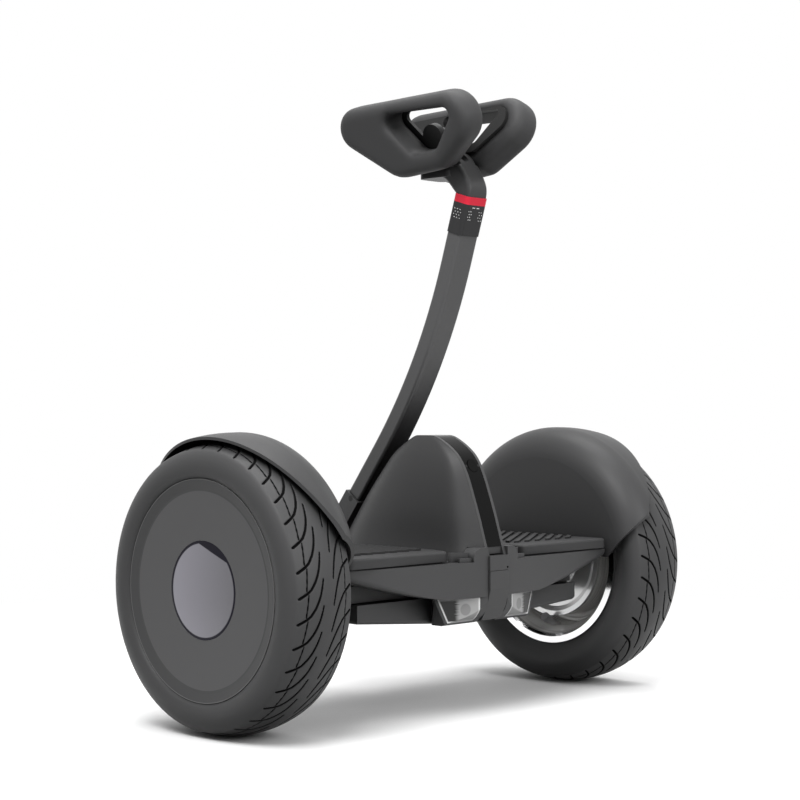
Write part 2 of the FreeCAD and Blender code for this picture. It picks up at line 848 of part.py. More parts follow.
def apron():
    """Raised foot beside the spine below the hump shell, with two low ridges out to the mat."""
    low = deck_height - shell_wall
    start = spine_half + seam
    shoulder = V(apron_shoulder, 0, strip_bottom)
    edge = V(apron_half, 0, deck_height + seam)
    bulge = (shoulder + edge) / 2 + V(apron_bulge, 0, apron_bulge)
    lobe = prism([V(start, 0, low), V(apron_half, 0, low), edge, (bulge, shoulder),
                  V(start, 0, strip_bottom)],
                 V(0, -deck_centre_reach, 0))
    lobe = lobe.common(box(0, deck_half, -2 * deck_centre_reach, -apron_front, 0, tyre_diameter))
    lobe = lobe.cut(hump_loft(shell_wall))
    curb = prism([
        V(apron_shoulder, -apron_rear, low), V(mat_inner, -apron_rear + curb_width, low),
        V(mat_inner, -apron_rear + 2 * curb_width, low),
        V(apron_shoulder, -apron_rear + 2 * curb_width, low)],
        V(0, 0, shell_wall + curb_rise))
    ridge_start = V(apron_shoulder, -apron_rear + curb_width, low)
    ridge_end = V(mat_inner + curb_width / 2, -mat_reach + curb_width, low)
    ridge = prism([
        ridge_start, ridge_end, V(ridge_end.x, ridge_end.y, deck_height + mat_plate_height),
        V(ridge_start.x, ridge_start.y, deck_height + 2 * curb_rise)], V(curb_rise / 2, curb_rise / 2, 0))
    return joined([lobe, curb, ridge])


def bearing_block(y0, y1):
    return box(-bearing_block_half, bearing_block_half, y0, y1, plate_bottom,
               deck_height - shell_wall - body_gap)


def chassis():
    depth = chassis_half_depth
    rail = depth - rail_width
    pieces = [box(-block_inner, block_inner, -depth, depth, plate_bottom, plate_top)]
    for side in (-1, 1):
        pieces.append(box(-block_inner, block_inner, min(side * rail, side * depth),
                          max(side * rail, side * depth), plate_bottom, axle_height))
        outline = [
            V(side * block_inner, -tab_half, axle_height), V(side * block_inner, tab_half, axle_height),
            V(side * block_inner, tab_half, block_bottom + lower_block_chamfer),
            V(side * block_inner, tab_half - lower_block_chamfer, block_bottom),
            V(side * block_inner, -tab_half + lower_block_chamfer, block_bottom),
            V(side * block_inner, -tab_half, block_bottom + lower_block_chamfer)]
        pieces.append(prism(outline, V(side * (fender_wall_face - block_inner), 0, 0)))
        tower = box(clamp_outer, fender_wall_face, -tab_half + block_corner, tab_half - block_corner,
                    axle_height, deck_height - shell_wall - body_gap)
        pieces.append(tower if side > 0 else mirrored(tower))
    pieces.append(bearing_block(front_block_start, front_block_end))
    pieces.append(bearing_block(rear_block_start, rear_block_end))
    body = joined(pieces)
    cuts = [rod(V(-fender_wall_face - overrun, 0, axle_height), V(1, 0, 0), axle_radius,
                fender_wall_face - axle_inner_end + overrun)]
    cuts.append(mirrored(cuts[0]))
    cuts.append(rod_y(steer_bearing_radius, front_bearing_face - steer_bearing_width,
                      front_block_end + overrun))
    cuts.append(rod_y(steer_bearing_radius, rear_bearing_face, rear_block_end + overrun))
    cuts.append(rod_y(steer_radius + 2 * body_gap, rear_block_start + torsion_head_length,
                      shaft_bore_end * 3))
    half = torsion_head / 2
    cuts.append(box(-half, half, rear_block_start - overrun, rear_block_start + torsion_head_length,
                    axle_height - half, axle_height + half))
    cuts += [rod(V(x, y, axle_height), V(0, 0, -1), clamp_bolt_radius, clamp_bolt_depth)
             for x, y in clamp_bolt_places()]
    for y, z in fender_screw_places():
        hole = rod(V(fender_wall_face + fender_thickness - 3 * overrun, y, z), V(1, 0, 0), screw_radius,
                   4 * overrun)
        cuts += [hole, mirrored(hole)]
    return body.cut(Part.makeCompound(cuts))


def clamp_bolt_places():
    low = clamp_inner + clamp_bolt_inset
    high = clamp_outer - clamp_bolt_inset
    return [(sx * x, sy * clamp_bolt_reach) for sx in (-1, 1) for x in (low, high) for sy in (-1, 1)]


def axle_clamp():
    top = deck_height - shell_wall - body_gap
    cap = box(clamp_inner, clamp_outer, -clamp_half_depth, clamp_half_depth, axle_height, top)
    cap = cap.cut(rod(V(clamp_inner - overrun, 0, axle_height), V(1, 0, 0), axle_radius, fender_wall_face))
    for x, y in clamp_bolt_places():
        if x > 0:
            cap = cap.cut(rod(V(x, y, axle_height), V(0, 0, 1), clamp_bolt_radius, clamp_bolt_depth))
            cap = cap.cut(rod(V(x, y, top - clamp_head_height), V(0, 0, 1), clamp_head_radius, overrun))
    return cap


def clamp_bolts():
    top = deck_height - shell_wall - body_gap
    bolts = []
    for x, y in clamp_bolt_places():
        foot = axle_height - clamp_bolt_depth
        shank = rod(V(x, y, foot), V(0, 0, 1), clamp_bolt_radius, top - clamp_head_height - foot)
        head = rod(V(x, y, top - clamp_head_height), V(0, 0, 1), clamp_head_radius - seam,
                   clamp_head_height - body_gap)
        bolts.append(joined([shank, head]))
    return Part.makeCompound(bolts)


def steering_shaft():
    shaft = rod_y(steer_radius, shaft_rear_end, boss_end - shell_wall)
    collar = rod_y(lever_collar, lever_start, lever_start + lever_width)
    lever = box(-lever_reach, lever_reach, lever_start, lever_start + lever_width,
                axle_height - lever_half_height, axle_height + lever_half_height)
    bore = rod_y(steer_bore, shaft_rear_end - overrun, shaft_bore_end)
    return joined([shaft, collar, lever]).cut(bore)


def steering_bearings():
    rings = []
    for face in (front_bearing_face - steer_bearing_width, rear_bearing_face):
        outer = rod_y(steer_bearing_radius, face, face + steer_bearing_width)
        rings.append(outer.cut(rod_y(steer_radius + running_clearance, face - overrun,
                                     face + steer_bearing_width + overrun)))
    return Part.makeCompound(rings)


def centring_torsion_bar():
    start = rear_block_start
    half = torsion_head / 2
    head = box(-half, half, start, start + torsion_head_length, axle_height - half, axle_height + half)
    return joined([head, rod_y(torsion_radius, start + torsion_head_length, torsion_tip)])


def lean_stops():
    middle = lever_start + lever_width / 2
    half = stop_size / 2
    place = lever_reach - half
    pads = [box(side * place - half, side * place + half, middle - half, middle + half, plate_top,
                plate_top + stop_height) for side in (-1, 1)]
    return Part.makeCompound(pads)


def lean_magnet():
    end = magnet_ring_start + magnet_ring_width
    ring = rod_y(magnet_ring_radius, magnet_ring_start, end)
    return ring.cut(rod_y(steer_radius, magnet_ring_start - overrun, end + overrun))


def lean_sensor():
    top = deck_height - shell_wall
    middle = magnet_ring_start + magnet_ring_width / 2
    half = sensor_size / 2
    return box(-half, half, middle - half, middle + half, top - sensor_board, top)


def lean_vector(lean):
    """Direction of the stem, going up, that leans back by the angle."""
    angle = math.radians(lean)
    return V(0, -math.sin(angle), math.cos(angle))


def stem_points():
    """Ends of the stem's straight runs and the middle of its bend, from the top down."""
    top = V(0, stem_top_reach, stem_top_height)
    bend_top = top - lean_vector(stem_top_lean) * stem_top_run
    t, b = high_lean, low_lean
    m = (t + b) / 2

    def on_bend(angle):
        return bend_top + V(0, stem_bend_radius * (math.cos(t) - math.cos(angle)),
                            stem_bend_radius * (math.sin(t) - math.sin(angle)))

    bend_low = on_bend(b)
    bottom = bend_low - lean_vector(stem_bottom_lean) * stem_bottom_run
    return top, bend_top, on_bend(m), bend_low, bottom


def stem_section(width, depth, corner, centre, lean):
    """Rounded rectangle square to the stem at a point."""
    across = V(1, 0, 0)
    deep = V(0, math.cos(math.radians(lean)), math.sin(math.radians(lean)))
    w, d = width / 2 - corner, depth / 2 - corner

    def place(u, v):
        return centre + across * u + deep * v

    return hull_wire([(w, -d, corner), (w, d, corner), (-w, d, corner), (-w, -d, corner)], place)


def straight_bar(width, depth, corner, start, lean, length):
    return Part.Face(stem_section(width, depth, corner, start, lean)).extrude(lean_vector(lean) * length)


def stem_sweep(width, depth, corner, extra):
    top, bend_top, bend_mid, bend_low, bottom = stem_points()
    bottom = bottom - lean_vector(stem_bottom_lean) * extra
    end = top - lean_vector(stem_top_lean) * (ring_height - extra)
    path = Part.Wire([line(bottom, bend_low), arc(bend_low, bend_mid, bend_top), line(bend_top, end)])
    return path.makePipeShell([stem_section(width, depth, corner, bottom, stem_bottom_lean)], True, False)


def stem_tube():
    outer = stem_sweep(stem_width, stem_depth, stem_corner, 0)
    inner = stem_sweep(stem_width - 2 * stem_wall, stem_depth - 2 * stem_wall,
                       stem_corner - stem_wall / 2, overrun)
    return outer.cut(inner).cut(base_bolt())


def collar():
    top = stem_points()[0]
    along = lean_vector(stem_top_lean)
    start = top - along * (ring_height + collar_length)
    outer = straight_bar(stem_width + 2 * collar_wall, stem_depth + 2 * collar_wall,
                         stem_corner + collar_wall,
                         start, stem_top_lean, collar_length)
    hole = straight_bar(stem_width, stem_depth, stem_corner, start - along * overrun, stem_top_lean,
                        collar_length + 2 * overrun)
    return outer.cut(hole)


def red_ring():
    top = stem_points()[0]
    along = lean_vector(stem_top_lean)
    start = top - along * ring_height
    outer = straight_bar(stem_width + 2 * collar_wall, stem_depth + 2 * collar_wall,
                         stem_corner + collar_wall,
                         start, stem_top_lean, ring_height)
    hole = straight_bar(stem_width - 2 * stem_wall, stem_depth - 2 * stem_wall, stem_corner - stem_wall / 2,
                        start - along * overrun, stem_top_lean, ring_height + 2 * overrun)
    return outer.cut(hole)


def head():
    top = stem_points()[0]
    along = lean_vector(stem_top_lean)
    spigot = straight_bar(stem_width - 2 * stem_wall - seam, stem_depth - 2 * stem_wall - seam,
                          stem_corner - stem_wall / 2, top - along * (ring_height + spigot_length),
                          stem_top_lean, ring_height + spigot_length)
    neck = neck_loft(top)
    boss = rod(V(-boss_half, barrel_reach, barrel_height), V(1, 0, 0), barrel_radius + boss_wall,
               2 * boss_half)
    lip = box(-boss_half, boss_half, lip_rear, lip_front, lip_bottom, lip_bottom + lip_thickness)
    lip = round_edges(lip, lip_thickness, lambda e: abs(e.tangentAt(e.FirstParameter).z) > 0.9)
    notch = joined([
        rod(V(0, -overall_width, notch_bottom), V(0, 1, 0), notch_half, overall_width),
        box(-notch_half, notch_half, -overall_width, 0, notch_bottom, overall_width + notch_bottom)])
    fork = joined([neck, boss, lip]).cut(notch)
    reach = pad_inner_reach(barrel_reach, barrel_height)
    normal = pad_frame()[2]
    barrel = rod(V(0, barrel_reach, barrel_height), V(1, 0, 0), barrel_radius, reach)
    flange_start = V(reach, barrel_reach, barrel_height) - normal * (core_thickness + seam + barrel_flange)
    flange = rod(flange_start, normal, barrel_flange_radius, barrel_flange)
    back = rod(flange_start + normal * barrel_flange, normal, pad_length, pad_thickness)
    half = joined([barrel, flange]).cut(back)
    room = pad_block(-pad_thickness / 2 - body_gap, pad_thickness, body_gap, 0)[0]
    body = joined([spigot, fork, half, mirrored(half)]).cut(room).cut(mirrored(room)).cut(red_ring())
    core = pad_core()
    return body.cut(core).cut(mirrored(core))


def neck_loft(foot):
    """Gooseneck from the stem up and forward to the barrel of the knee pads."""
    crown = V(0, barrel_reach, barrel_height)
    wires = [stem_section(stem_width, stem_depth, stem_corner, foot, stem_top_lean)]
    for rise, width, depth, lean, run in neck_shares:
        centre = V(0, foot.y + (crown.y - foot.y) * run, foot.z + (crown.z - foot.z) * rise)
        wires.append(stem_section(stem_width * width, stem_depth * depth, neck_round, centre, lean))
    return Part.makeLoft(wires, True, False)


def pad_frame():
    """Directions along, up and out of the right pad, and its rear lower corner."""
    flare = math.radians(pad_flare)
    lean = math.radians(pad_lean)
    along = V(math.sin(flare), math.cos(flare), 0)
    level = V(math.cos(flare), -math.sin(flare), 0)
    up = level * math.sin(lean) + V(0, 0, math.cos(lean))
    normal = level * math.cos(lean) - V(0, 0, math.sin(lean))
    corner = V(pad_rear_x, pad_rear_y, pad_pivot_height) - up * pad_drop
    return along, up, normal, corner


def pad_inner_reach(y, z):
    """How far out the inner face of the pad stands at a place along and up the object."""
    normal, corner = pad_frame()[2:]
    inner = corner - normal * (pad_thickness / 2)
    return inner.x + ((inner.y - y) * normal.y + (inner.z - z) * normal.z) / normal.x


def pad_outline(shares, offset, grow):
    along, up, normal, corner = pad_frame()
    base = corner + normal * offset
    circles = [(u * pad_length, v * pad_height, r * pad_length + grow) for u, v, r in shares]
    return hull_wire(circles, lambda u, v: base + along * u + up * v)


def pad_block(offset, thickness, grow, hole_grow):
    normal = pad_frame()[2]
    outer = Part.Face(pad_outline(pad_corner_shares, offset, grow)).extrude(normal * thickness)
    start = offset - overrun
    hole = Part.Face(pad_outline(pad_hole_shares, start,
                                 hole_grow)).extrude(normal * (thickness + 2 * overrun))
    return outer, hole


def knee_pad():
    outer, hole = pad_block(-pad_thickness / 2, pad_thickness, 0, 0)
    normal = pad_frame()[2]

    def on_a_face(edge):
        return abs(edge.tangentAt((edge.FirstParameter + edge.LastParameter) / 2).dot(normal)) < 0.5

    outer = round_edges(outer, pad_round, on_a_face)
    ring = outer.cut(hole)

    def in_the_hole(edge):
        if not on_a_face(edge):
            return False
        middle = edge.valueAt((edge.FirstParameter + edge.LastParameter) / 2)
        return hole.isInside(middle, seam, True)

    faces_edges = [e for e in ring.Edges if in_the_hole(e)]
    return ring.makeFillet(pad_hole_round, faces_edges)


def pad_core():
    """The rigid back plate that carries a pad, against the pad's inner face."""
    outer, hole = pad_block(-pad_thickness / 2 - core_thickness - seam, core_thickness,
                            -core_inset - pad_round,
                            -core_hole_round)
    normal = pad_frame()[2]
    centre = V(pad_inner_reach(barrel_reach, barrel_height), barrel_reach, barrel_height)
    disc = rod(centre - normal * (core_thickness + seam), normal, barrel_flange_radius, core_thickness)
    return joined([outer.cut(hole), disc])


def steering_base():
    top, bend_top, bend_mid, bend_low, bottom = stem_points()
    along = lean_vector(stem_bottom_lean)
    square = V(0, along.z, -along.y)
    half = base_depth / 2
    steps_down = (bend_low.z - base_step_height) / along.z
    mouth = bend_low - along * steps_down
    rear_top = mouth - square * half
    front_top = mouth + square * half
    run = (base_front_reach - front_top.y) / -along.y
    front_low = front_top - along * run
    notch = rear_top - along * ((rear_top.z - base_notch_height) / along.z)
    outline = [
        rear_top, front_top, front_low, V(0, base_front_reach, axle_height), V(0, boss_start, axle_height),
        V(0, boss_start, axle_height + boss_outer / 2),
        V(0, notch.y + half, deck_height + base_gap_to_hump),
        notch]
    arm = prism([p + V(-base_half, 0, 0) for p in outline], V(2 * base_half, 0, 0))
    boss = rod_y(boss_outer, boss_start, base_front_reach)
    body = joined([arm, boss])
    body = body.cut(rod_y(steer_radius, boss_start - overrun, boss_end - shell_wall))
    socket = straight_bar(stem_width, stem_depth, stem_corner, bottom, stem_bottom_lean,
                          stem_plug + 3 * overrun)
    body = body.cut(socket)
    bolt = base_bolt()
    return body.cut(bolt)


def base_bolt_place():
    bottom = stem_points()[4]
    return bottom + lean_vector(stem_bottom_lean) * (stem_plug / 2)


def base_bolt():
    """Cross bolt that holds the stem in its base."""
    place = base_bolt_place()
    return rod(place - V(base_half, 0, 0), V(1, 0, 0), base_bolt_radius, 2 * base_half)


def hump_sections(inset):
    """Level outlines of the hump with its wall left off by the inset."""
    wires = []
    flat = spine_half - inset / 2
    for height, rear, front, width in hump_shares:
        z = deck_height + height * (hump_height - inset)
        y0 = -rear * hump_rear + inset
        y1 = front * hump_front - inset
        w = max(width * hump_half_width - inset, flat + seam)
        middle = (y0 + y1) / 2
        side = [V(flat + (w - flat) * out, middle + (y1 - middle) * along, z)
                for out, along in hump_side_shares]
        right = Part.BSplineCurve()
        right.buildFromPoles(side)
        left = Part.BSplineCurve()
        left.buildFromPoles([V(-q.x, q.y, z) for q in side[::-1]])
        wires.append(Part.Wire([line(V(-flat, y0, z), V(flat, y0, z)), right.toShape(),
                                line(V(flat, y1, z), V(-flat, y1, z)), left.toShape()]))
    return wires


def hump_loft(inset):
    return Part.makeLoft(hump_sections(inset), True, False)


def hump_hollow():
    return hump_loft(0).cut(hump_loft(shell_wall))


def hump_shell(hollow):
    big = tyre_diameter
    room = box(0, apron_half + seam, -big, -apron_front + seam, 0, strip_bottom + seam)
    return hollow.common(box(spine_half + seam, big, -big, big, 0, 2 * big)).cut(room)


def button_frame():
    """Centre of the button's face and the outward direction square to the strip."""
    angle = math.radians(button_lean)
    return V(0, button_reach, button_height), V(0, -math.cos(angle), math.sin(angle))


def spine_parts(hollow):
    big = tyre_diameter
    slab = hollow.common(box(-spine_half, spine_half, -big, big, 0, 2 * big))
    window = box(-strip_half, strip_half, -big, strip_front_end, strip_bottom, 2 * big)
    centre, out = button_frame()
    hole = rod(centre - out * (2 * button_depth), out, button_radius + body_gap, 3 * button_depth)
    strip = slab.common(window).cut(hole)
    wider = box(-strip_half - seam, strip_half + seam, -big, strip_front_end + seam, strip_bottom - seam,
                2 * big)
    band = box(-strip_half, strip_half, -big, -band_reach, band_bottom, strip_bottom)
    foot_top = deck_height - shell_wall - seam
    foot_low = flap_top + body_gap
    foot = box(-spine_half, spine_half, -flap_face, -deck_centre_reach - seam, foot_low,
               deck_height + overrun)
    hook = box(-spine_half, spine_half, -deck_centre_reach - seam, -deck_centre_reach + overrun,
               foot_low, foot_top)
    reset_hole = rod(V(reset_hole_reach, -flap_face, foot_low + 2 * reset_hole_radius), V(0, 1, 0),
                     reset_hole_radius, reset_hole_depth)
    frame = joined([slab, foot, hook]).cut(wider).cut(band).cut(reset_hole)
    return strip, frame


def power_button():
    centre, out = button_frame()
    disc = rod(centre - out * button_depth, out, button_radius, button_depth)
    return disc


def power_switch(strip):
    """Switch behind the button, on a plate with two posts against the strip."""
    centre, out = button_frame()
    start = centre - out * (button_depth + button_travel + body_gap + switch_depth)
    pieces = [rod(start, out, switch_size, switch_depth), rod(start, out, switch_post_reach, switch_post)]
    for side in (-1, 1):
        pieces.append(rod(start + V(side * switch_post_reach, 0, 0), out, switch_post, 2 * button_depth))
    return joined(pieces).cut(strip)


def housing_block():
    depth_top = deck_centre_reach
    rear = prism([
        V(-housing_half_bottom, 0, housing_bottom), V(housing_half_bottom, 0, housing_bottom),
        V(housing_half_top, 0, housing_top), V(-housing_half_top, 0, housing_top)], V(0, -2 * depth_top, 0))
    front_y = battery_half_depth + seam
    side_view = prism([
        V(0, -front_y, housing_bottom), V(0, -front_y, housing_top), V(0, -depth_top, housing_top),
        (V(0, -depth_top + housing_round / 6, housing_top - housing_round),
         V(0, -depth_top + 2 * housing_round, housing_bottom))],
        V(2 * housing_half_top, 0, 0))
    side_view.translate(V(-housing_half_top, 0, 0))
    top_end = deck_centre_reach - deck_corner - housing_round
    plan = prism([
        V(-spine_half, -depth_top, 0), V(spine_half, -depth_top, 0), V(housing_half_top, -top_end, 0),
        V(housing_end_inner, -battery_half_depth, 0), V(-housing_end_inner, -battery_half_depth, 0),
        V(-housing_half_top, -top_end, 0)], V(0, 0, tyre_diameter))
    return rear.common(side_view).common(plan)


def lamp_region(grow):
    """Slanted block that the right tail lamp fills."""
    return prism([
        V(lamp_inner - grow, 0, lamp_bottom - grow), V(lamp_outer_bottom + grow, 0, lamp_bottom - grow),
        V(lamp_outer_top + grow, 0, lamp_top + grow), V(lamp_inner - grow, 0, lamp_top + grow)],
        V(0, -2 * deck_centre_reach, 0))


def tail_lamp_lens(block):
    inner = block.copy()
    inner.translate(V(0, lamp_depth, 0))
    thin = block.copy()
    thin.translate(V(0, lamp_wall, 0))
    lens = block.common(lamp_region(0)).cut(inner)
    return lens.cut(thin.common(lamp_region(-lamp_wall)))


def lamp_board(block):
    deep = block.copy()
    deep.translate(V(0, lamp_depth - lamp_board_thickness - seam, 0))
    deeper = block.copy()
    deeper.translate(V(0, lamp_depth - seam, 0))
    return deep.common(lamp_region(-lamp_wall - seam)).cut(deeper)


def tail_housing(block):
    body = block.copy()
    deep = block.copy()
    deep.translate(V(0, lamp_depth, 0))
    pocket = lamp_region(seam).cut(deep)
    body = body.cut(pocket).cut(mirrored(pocket))
    slot = box(-spine_half - seam, spine_half + seam, -2 * deck_centre_reach,
               -flap_pin_reach + 2 * flap_knuckle,
               0, tyre_diameter)
    body = body.cut(slot)
    pin = rod(V(-spine_half - overrun, -flap_pin_reach, flap_pin_height), V(1, 0, 0), flap_pin_radius,
              2 * (spine_half + overrun))
    return body.cut(pin)


def charge_flap():
    """Curved flap of the charging port with its knuckle at the bottom."""
    face = flap_face
    thick = flap_thickness
    outline = [
        V(-flap_half, -face, flap_top), V(-flap_half, -face, flap_mid_height),
        V(-flap_half, -flap_knee_reach, flap_knee_height),
        V(-flap_half, -flap_pin_reach - flap_knuckle * math.cos(math.radians(button_lean)),
          flap_pin_height - flap_knuckle * math.sin(math.radians(button_lean))),
        V(-flap_half, -flap_pin_reach, flap_pin_height),
        V(-flap_half, -flap_knee_reach + thick, flap_knee_height + thick / 2),
        V(-flap_half, -face + thick, flap_mid_height + thick / 2), V(-flap_half, -face + thick, flap_top)]
    leaf = prism(outline, V(2 * flap_half, 0, 0))
    knuckle = rod(V(-flap_half, -flap_pin_reach, flap_pin_height), V(1, 0, 0), flap_knuckle, 2 * flap_half)
    bore = rod(V(-flap_half - overrun, -flap_pin_reach, flap_pin_height), V(1, 0, 0),
               flap_pin_radius + running_clearance, 2 * (flap_half + overrun))
    return joined([leaf, knuckle]).cut(bore)


def flap_pin():
    length = spine_half + overrun
    return rod(V(-length, -flap_pin_reach, flap_pin_height), V(1, 0, 0), flap_pin_radius, 2 * length)


def charge_socket():
    start = V(0, -socket_mouth, socket_height)
    body = rod(start, V(0, 1, 0), socket_radius, socket_length)
    bore = rod(start, V(0, 1, 0), socket_bore, socket_length - shell_wall)
    plate = box(-spine_half, spine_half, -socket_mouth + shell_wall, -socket_mouth + 2 * shell_wall,
                deck_bottom + seam, deck_height - shell_wall - seam)
    contact = rod(start + V(0, socket_pin_start, 0), V(0, 1, 0), socket_pin,
                  socket_length - shell_wall - socket_pin_start)
    return joined([joined([body, plate]).cut(bore), contact])


def battery_outline(inset):
    half = battery_half - inset
    low = battery_bottom + inset
    edge = battery_bottom_edge + inset
    depth = battery_half_depth - inset
    return prism([
        V(-battery_flat_half, -depth, low), V(battery_flat_half, -depth, low), V(half, -depth, edge),
        V(half, -depth, battery_top), V(-half, -depth, battery_top), V(-half, -depth, edge)],
        V(0, 2 * depth, 0))


def battery_case():
    outer = battery_outline(0)
    outer = round_edges(outer, battery_round, lambda e: e.BoundBox.ZMax < battery_top - overrun / 2)
    return outer.cut(battery_outline(battery_wall).common(
        box(-battery_half, battery_half, -battery_half_depth, battery_half_depth, 0,
            battery_top - battery_wall)))


def battery_cells():
    """Cells lying across the case, side by side in two rows."""
    cells = []
    z = battery_bottom + battery_wall + cell_radius + 3 * body_gap
    for column in range(cell_columns):
        x = (column - (cell_columns - 1) / 2) * (2 * cell_radius)
        for side in (-1, 1):
            y = side * (cell_length / 2 + body_gap)
            cells.append(rod(V(x, y - cell_length / 2, z), V(0, 1, 0), cell_radius, cell_length))
    return Part.makeCompound(cells)


def control_board():
    board = box(-board_thickness / 2, board_thickness / 2, board_rear, board_front, board_bottom, board_top)
    pieces = [board]
    for u, v in capacitor_places_shares:
        y = board_rear + u * (board_front - board_rear)
        z = board_bottom + v * (board_top - board_bottom)
        pieces.append(rod(V(board_thickness / 2, y, z), V(1, 0, 0), capacitor_radius, capacitor_length))
    return joined(pieces)


def foot_mat():
    corners = [
        (mat_outer - mat_corner, -mat_reach + mat_corner), (mat_outer - mat_corner, mat_reach - mat_corner),
        (mat_inner_end + mat_corner, mat_reach - mat_corner), (mat_inner + mat_corner, mat_taper_start),
        (mat_inner + mat_corner, -mat_taper_start), (mat_inner_end + mat_corner, -mat_reach + mat_corner)]

    def outline(z, shrink):
        ring = [(x, y, mat_corner - shrink) for x, y in corners]
        return Part.Face(hull_wire(ring, lambda u, v: V(u, v, z)))

    low = deck_height
    foot = outline(low, mat_foot_inset).extrude(V(0, 0, mat_foot_height))
    plate = outline(low + mat_foot_height, 0).extrude(V(0, 0, mat_plate_height))
    top = low + mat_foot_height + mat_plate_height
    plate = round_edges(plate, mat_edge_round,
                        lambda e: e.BoundBox.ZMin > top - seam)
    pieces = [foot, plate]
    slant = math.radians(mat_rib_slant)
    inside = outline(top - seam, mat_corner - seam).extrude(V(0, 0, mat_rib_height + seam))
    field = box(mat_inner_end + mat_rib_margin, mat_outer - mat_rib_margin, -mat_reach + mat_rib_end_margin,
                mat_reach - mat_rib_end_margin, top - seam, top + mat_rib_height).common(inside)
    span = mat_outer - mat_inner
    count = int((mat_reach * 2 + span * math.tan(slant)) / mat_rib_pitch)
    middle = (mat_outer + mat_inner) / 2
    for i in range(count + 1):
        y = (i - count / 2) * mat_rib_pitch
        bar = box(middle - span, middle + span, y - mat_rib_width / 2, y + mat_rib_width / 2, top - seam,
                  top + mat_rib_height)
        bar.rotate(V(middle, y, 0), V(0, 0, 1), mat_rib_slant)
        rib = bar.common(field)
        if rib.Solids and rib.Volume > mat_rib_width ** 3:
            pieces.append(rib)
    return joined(pieces)


def foot_sensors():
    """Thin pressure switches let into the deck below each mat."""
    plates = []
    x = (mat_outer + mat_inner) / 2
    for side in (-1, 1):
        for sy in (-1, 1):
            y = sy * mat_reach / 2
            half = sensor_size
            plates.append(box(side * x - half, side * x + half, y - half, y + half,
                              deck_height - shell_wall - sensor_board, deck_height - shell_wall))
    return Part.makeCompound(plates)


def front_housing():
    block = housing_block().mirror(V(0, 0, 0), V(0, 1, 0))
    limit = box(-housing_half_top, housing_half_top, 0, boss_start - body_gap * 2, 0, tyre_diameter)
    return block.common(limit)


def headlamp_lens(block):
    face = boss_start - body_gap * 2
    region = box(-headlamp_half, headlamp_half, face - lamp_wall, face, headlamp_bottom, headlamp_top)
    return region.common(block)


def main():
    os.makedirs(OUT, exist_ok=True)
    save_pair("tyre", tyre())
    save_pair("rim", rim())
    save_pair("motor_cover", motor_cover())
    save_pair("wheel_bearings", wheel_bearings())
    save_pair("magnet_ring", magnet_ring())
    save_both("stators", stator())
    save_both("axles", axle())
    save_pair("wheel_cover", wheel_cover())
    save_pair("hub_cap", hub_cap())
    save_pair("valve", valve())
    save_pair("fender", fender())
    save("fender_screws", fender_screws())
    save("deck_shell", deck_shell())
    save("chassis", chassis())
    save_both("axle_clamps", axle_clamp())
    save("clamp_bolts", clamp_bolts())
    save("steering_shaft", steering_shaft())
    save("steering_bearings", steering_bearings())
    save("centring_torsion_bar", centring_torsion_bar())
    save("lean_stops", lean_stops())
    save("lean_magnet", lean_magnet())
    save("lean_sensor", lean_sensor())
    save("stem_tube", stem_tube())
    save("collar", collar())
    save("red_ring", red_ring())
    save("head", head())
    save_pair("knee_pad", knee_pad())
    save_both("pad_cores", pad_core())
    save("steering_base", steering_base())
    save("base_bolt", base_bolt())
    hollow = hump_hollow()
    save_pair("hump_shell", hump_shell(hollow))
    strip, frame = spine_parts(hollow)
    save("display_strip", strip)
    save("spine_frame", frame)
    save("power_button", power_button())
    save("power_switch", power_switch(strip))
    block = housing_block()
    save("tail_housing", tail_housing(block))
    save_both("tail_lamp_lenses", tail_lamp_lens(block))
    save_both("tail_lamp_boards", lamp_board(block))
    save("charge_flap", charge_flap())
    save("flap_pin", flap_pin())
    save("charge_socket", charge_socket())
    save("battery_case", battery_case())
    save("battery_cells", battery_cells())
    save("control_board", control_board())
    save_pair("foot_mat", foot_mat())
    save("foot_sensors", foot_sensors())
    front = front_housing()
    lens = headlamp_lens(front)
    save("front_housing", front.cut(lens))
    save("headlamp_lens", lens)


main()
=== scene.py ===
import bpy
import math
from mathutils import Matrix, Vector

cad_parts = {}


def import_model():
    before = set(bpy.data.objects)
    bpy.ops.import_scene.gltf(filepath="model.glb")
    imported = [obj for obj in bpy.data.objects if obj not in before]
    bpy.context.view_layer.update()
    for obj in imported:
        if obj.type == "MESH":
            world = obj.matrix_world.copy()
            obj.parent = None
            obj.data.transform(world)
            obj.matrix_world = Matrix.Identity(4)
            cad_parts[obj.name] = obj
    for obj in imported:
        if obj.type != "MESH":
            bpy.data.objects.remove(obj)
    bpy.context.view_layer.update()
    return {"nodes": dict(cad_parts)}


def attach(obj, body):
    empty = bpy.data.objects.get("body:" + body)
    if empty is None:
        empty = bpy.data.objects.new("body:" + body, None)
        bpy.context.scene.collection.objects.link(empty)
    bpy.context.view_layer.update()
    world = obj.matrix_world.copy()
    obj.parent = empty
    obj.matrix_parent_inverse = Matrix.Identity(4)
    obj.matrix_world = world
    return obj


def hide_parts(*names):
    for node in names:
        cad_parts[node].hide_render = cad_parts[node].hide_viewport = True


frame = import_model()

nodes = frame["nodes"]
scene = bpy.context.scene
scene.view_settings.view_transform = "Standard"

# Sizes shared with the solids, in metres
AXLE_HEIGHT = 0.131
WHEEL_MIDDLE = 0.2366
STEM_TOP = Vector((0.0, -0.0785, 0.495))
STEM_LEAN = math.radians(17.3)
RING_HEIGHT = 0.0075
COLLAR_REAR = 0.00985
COLLAR_LEFT = 0.01435

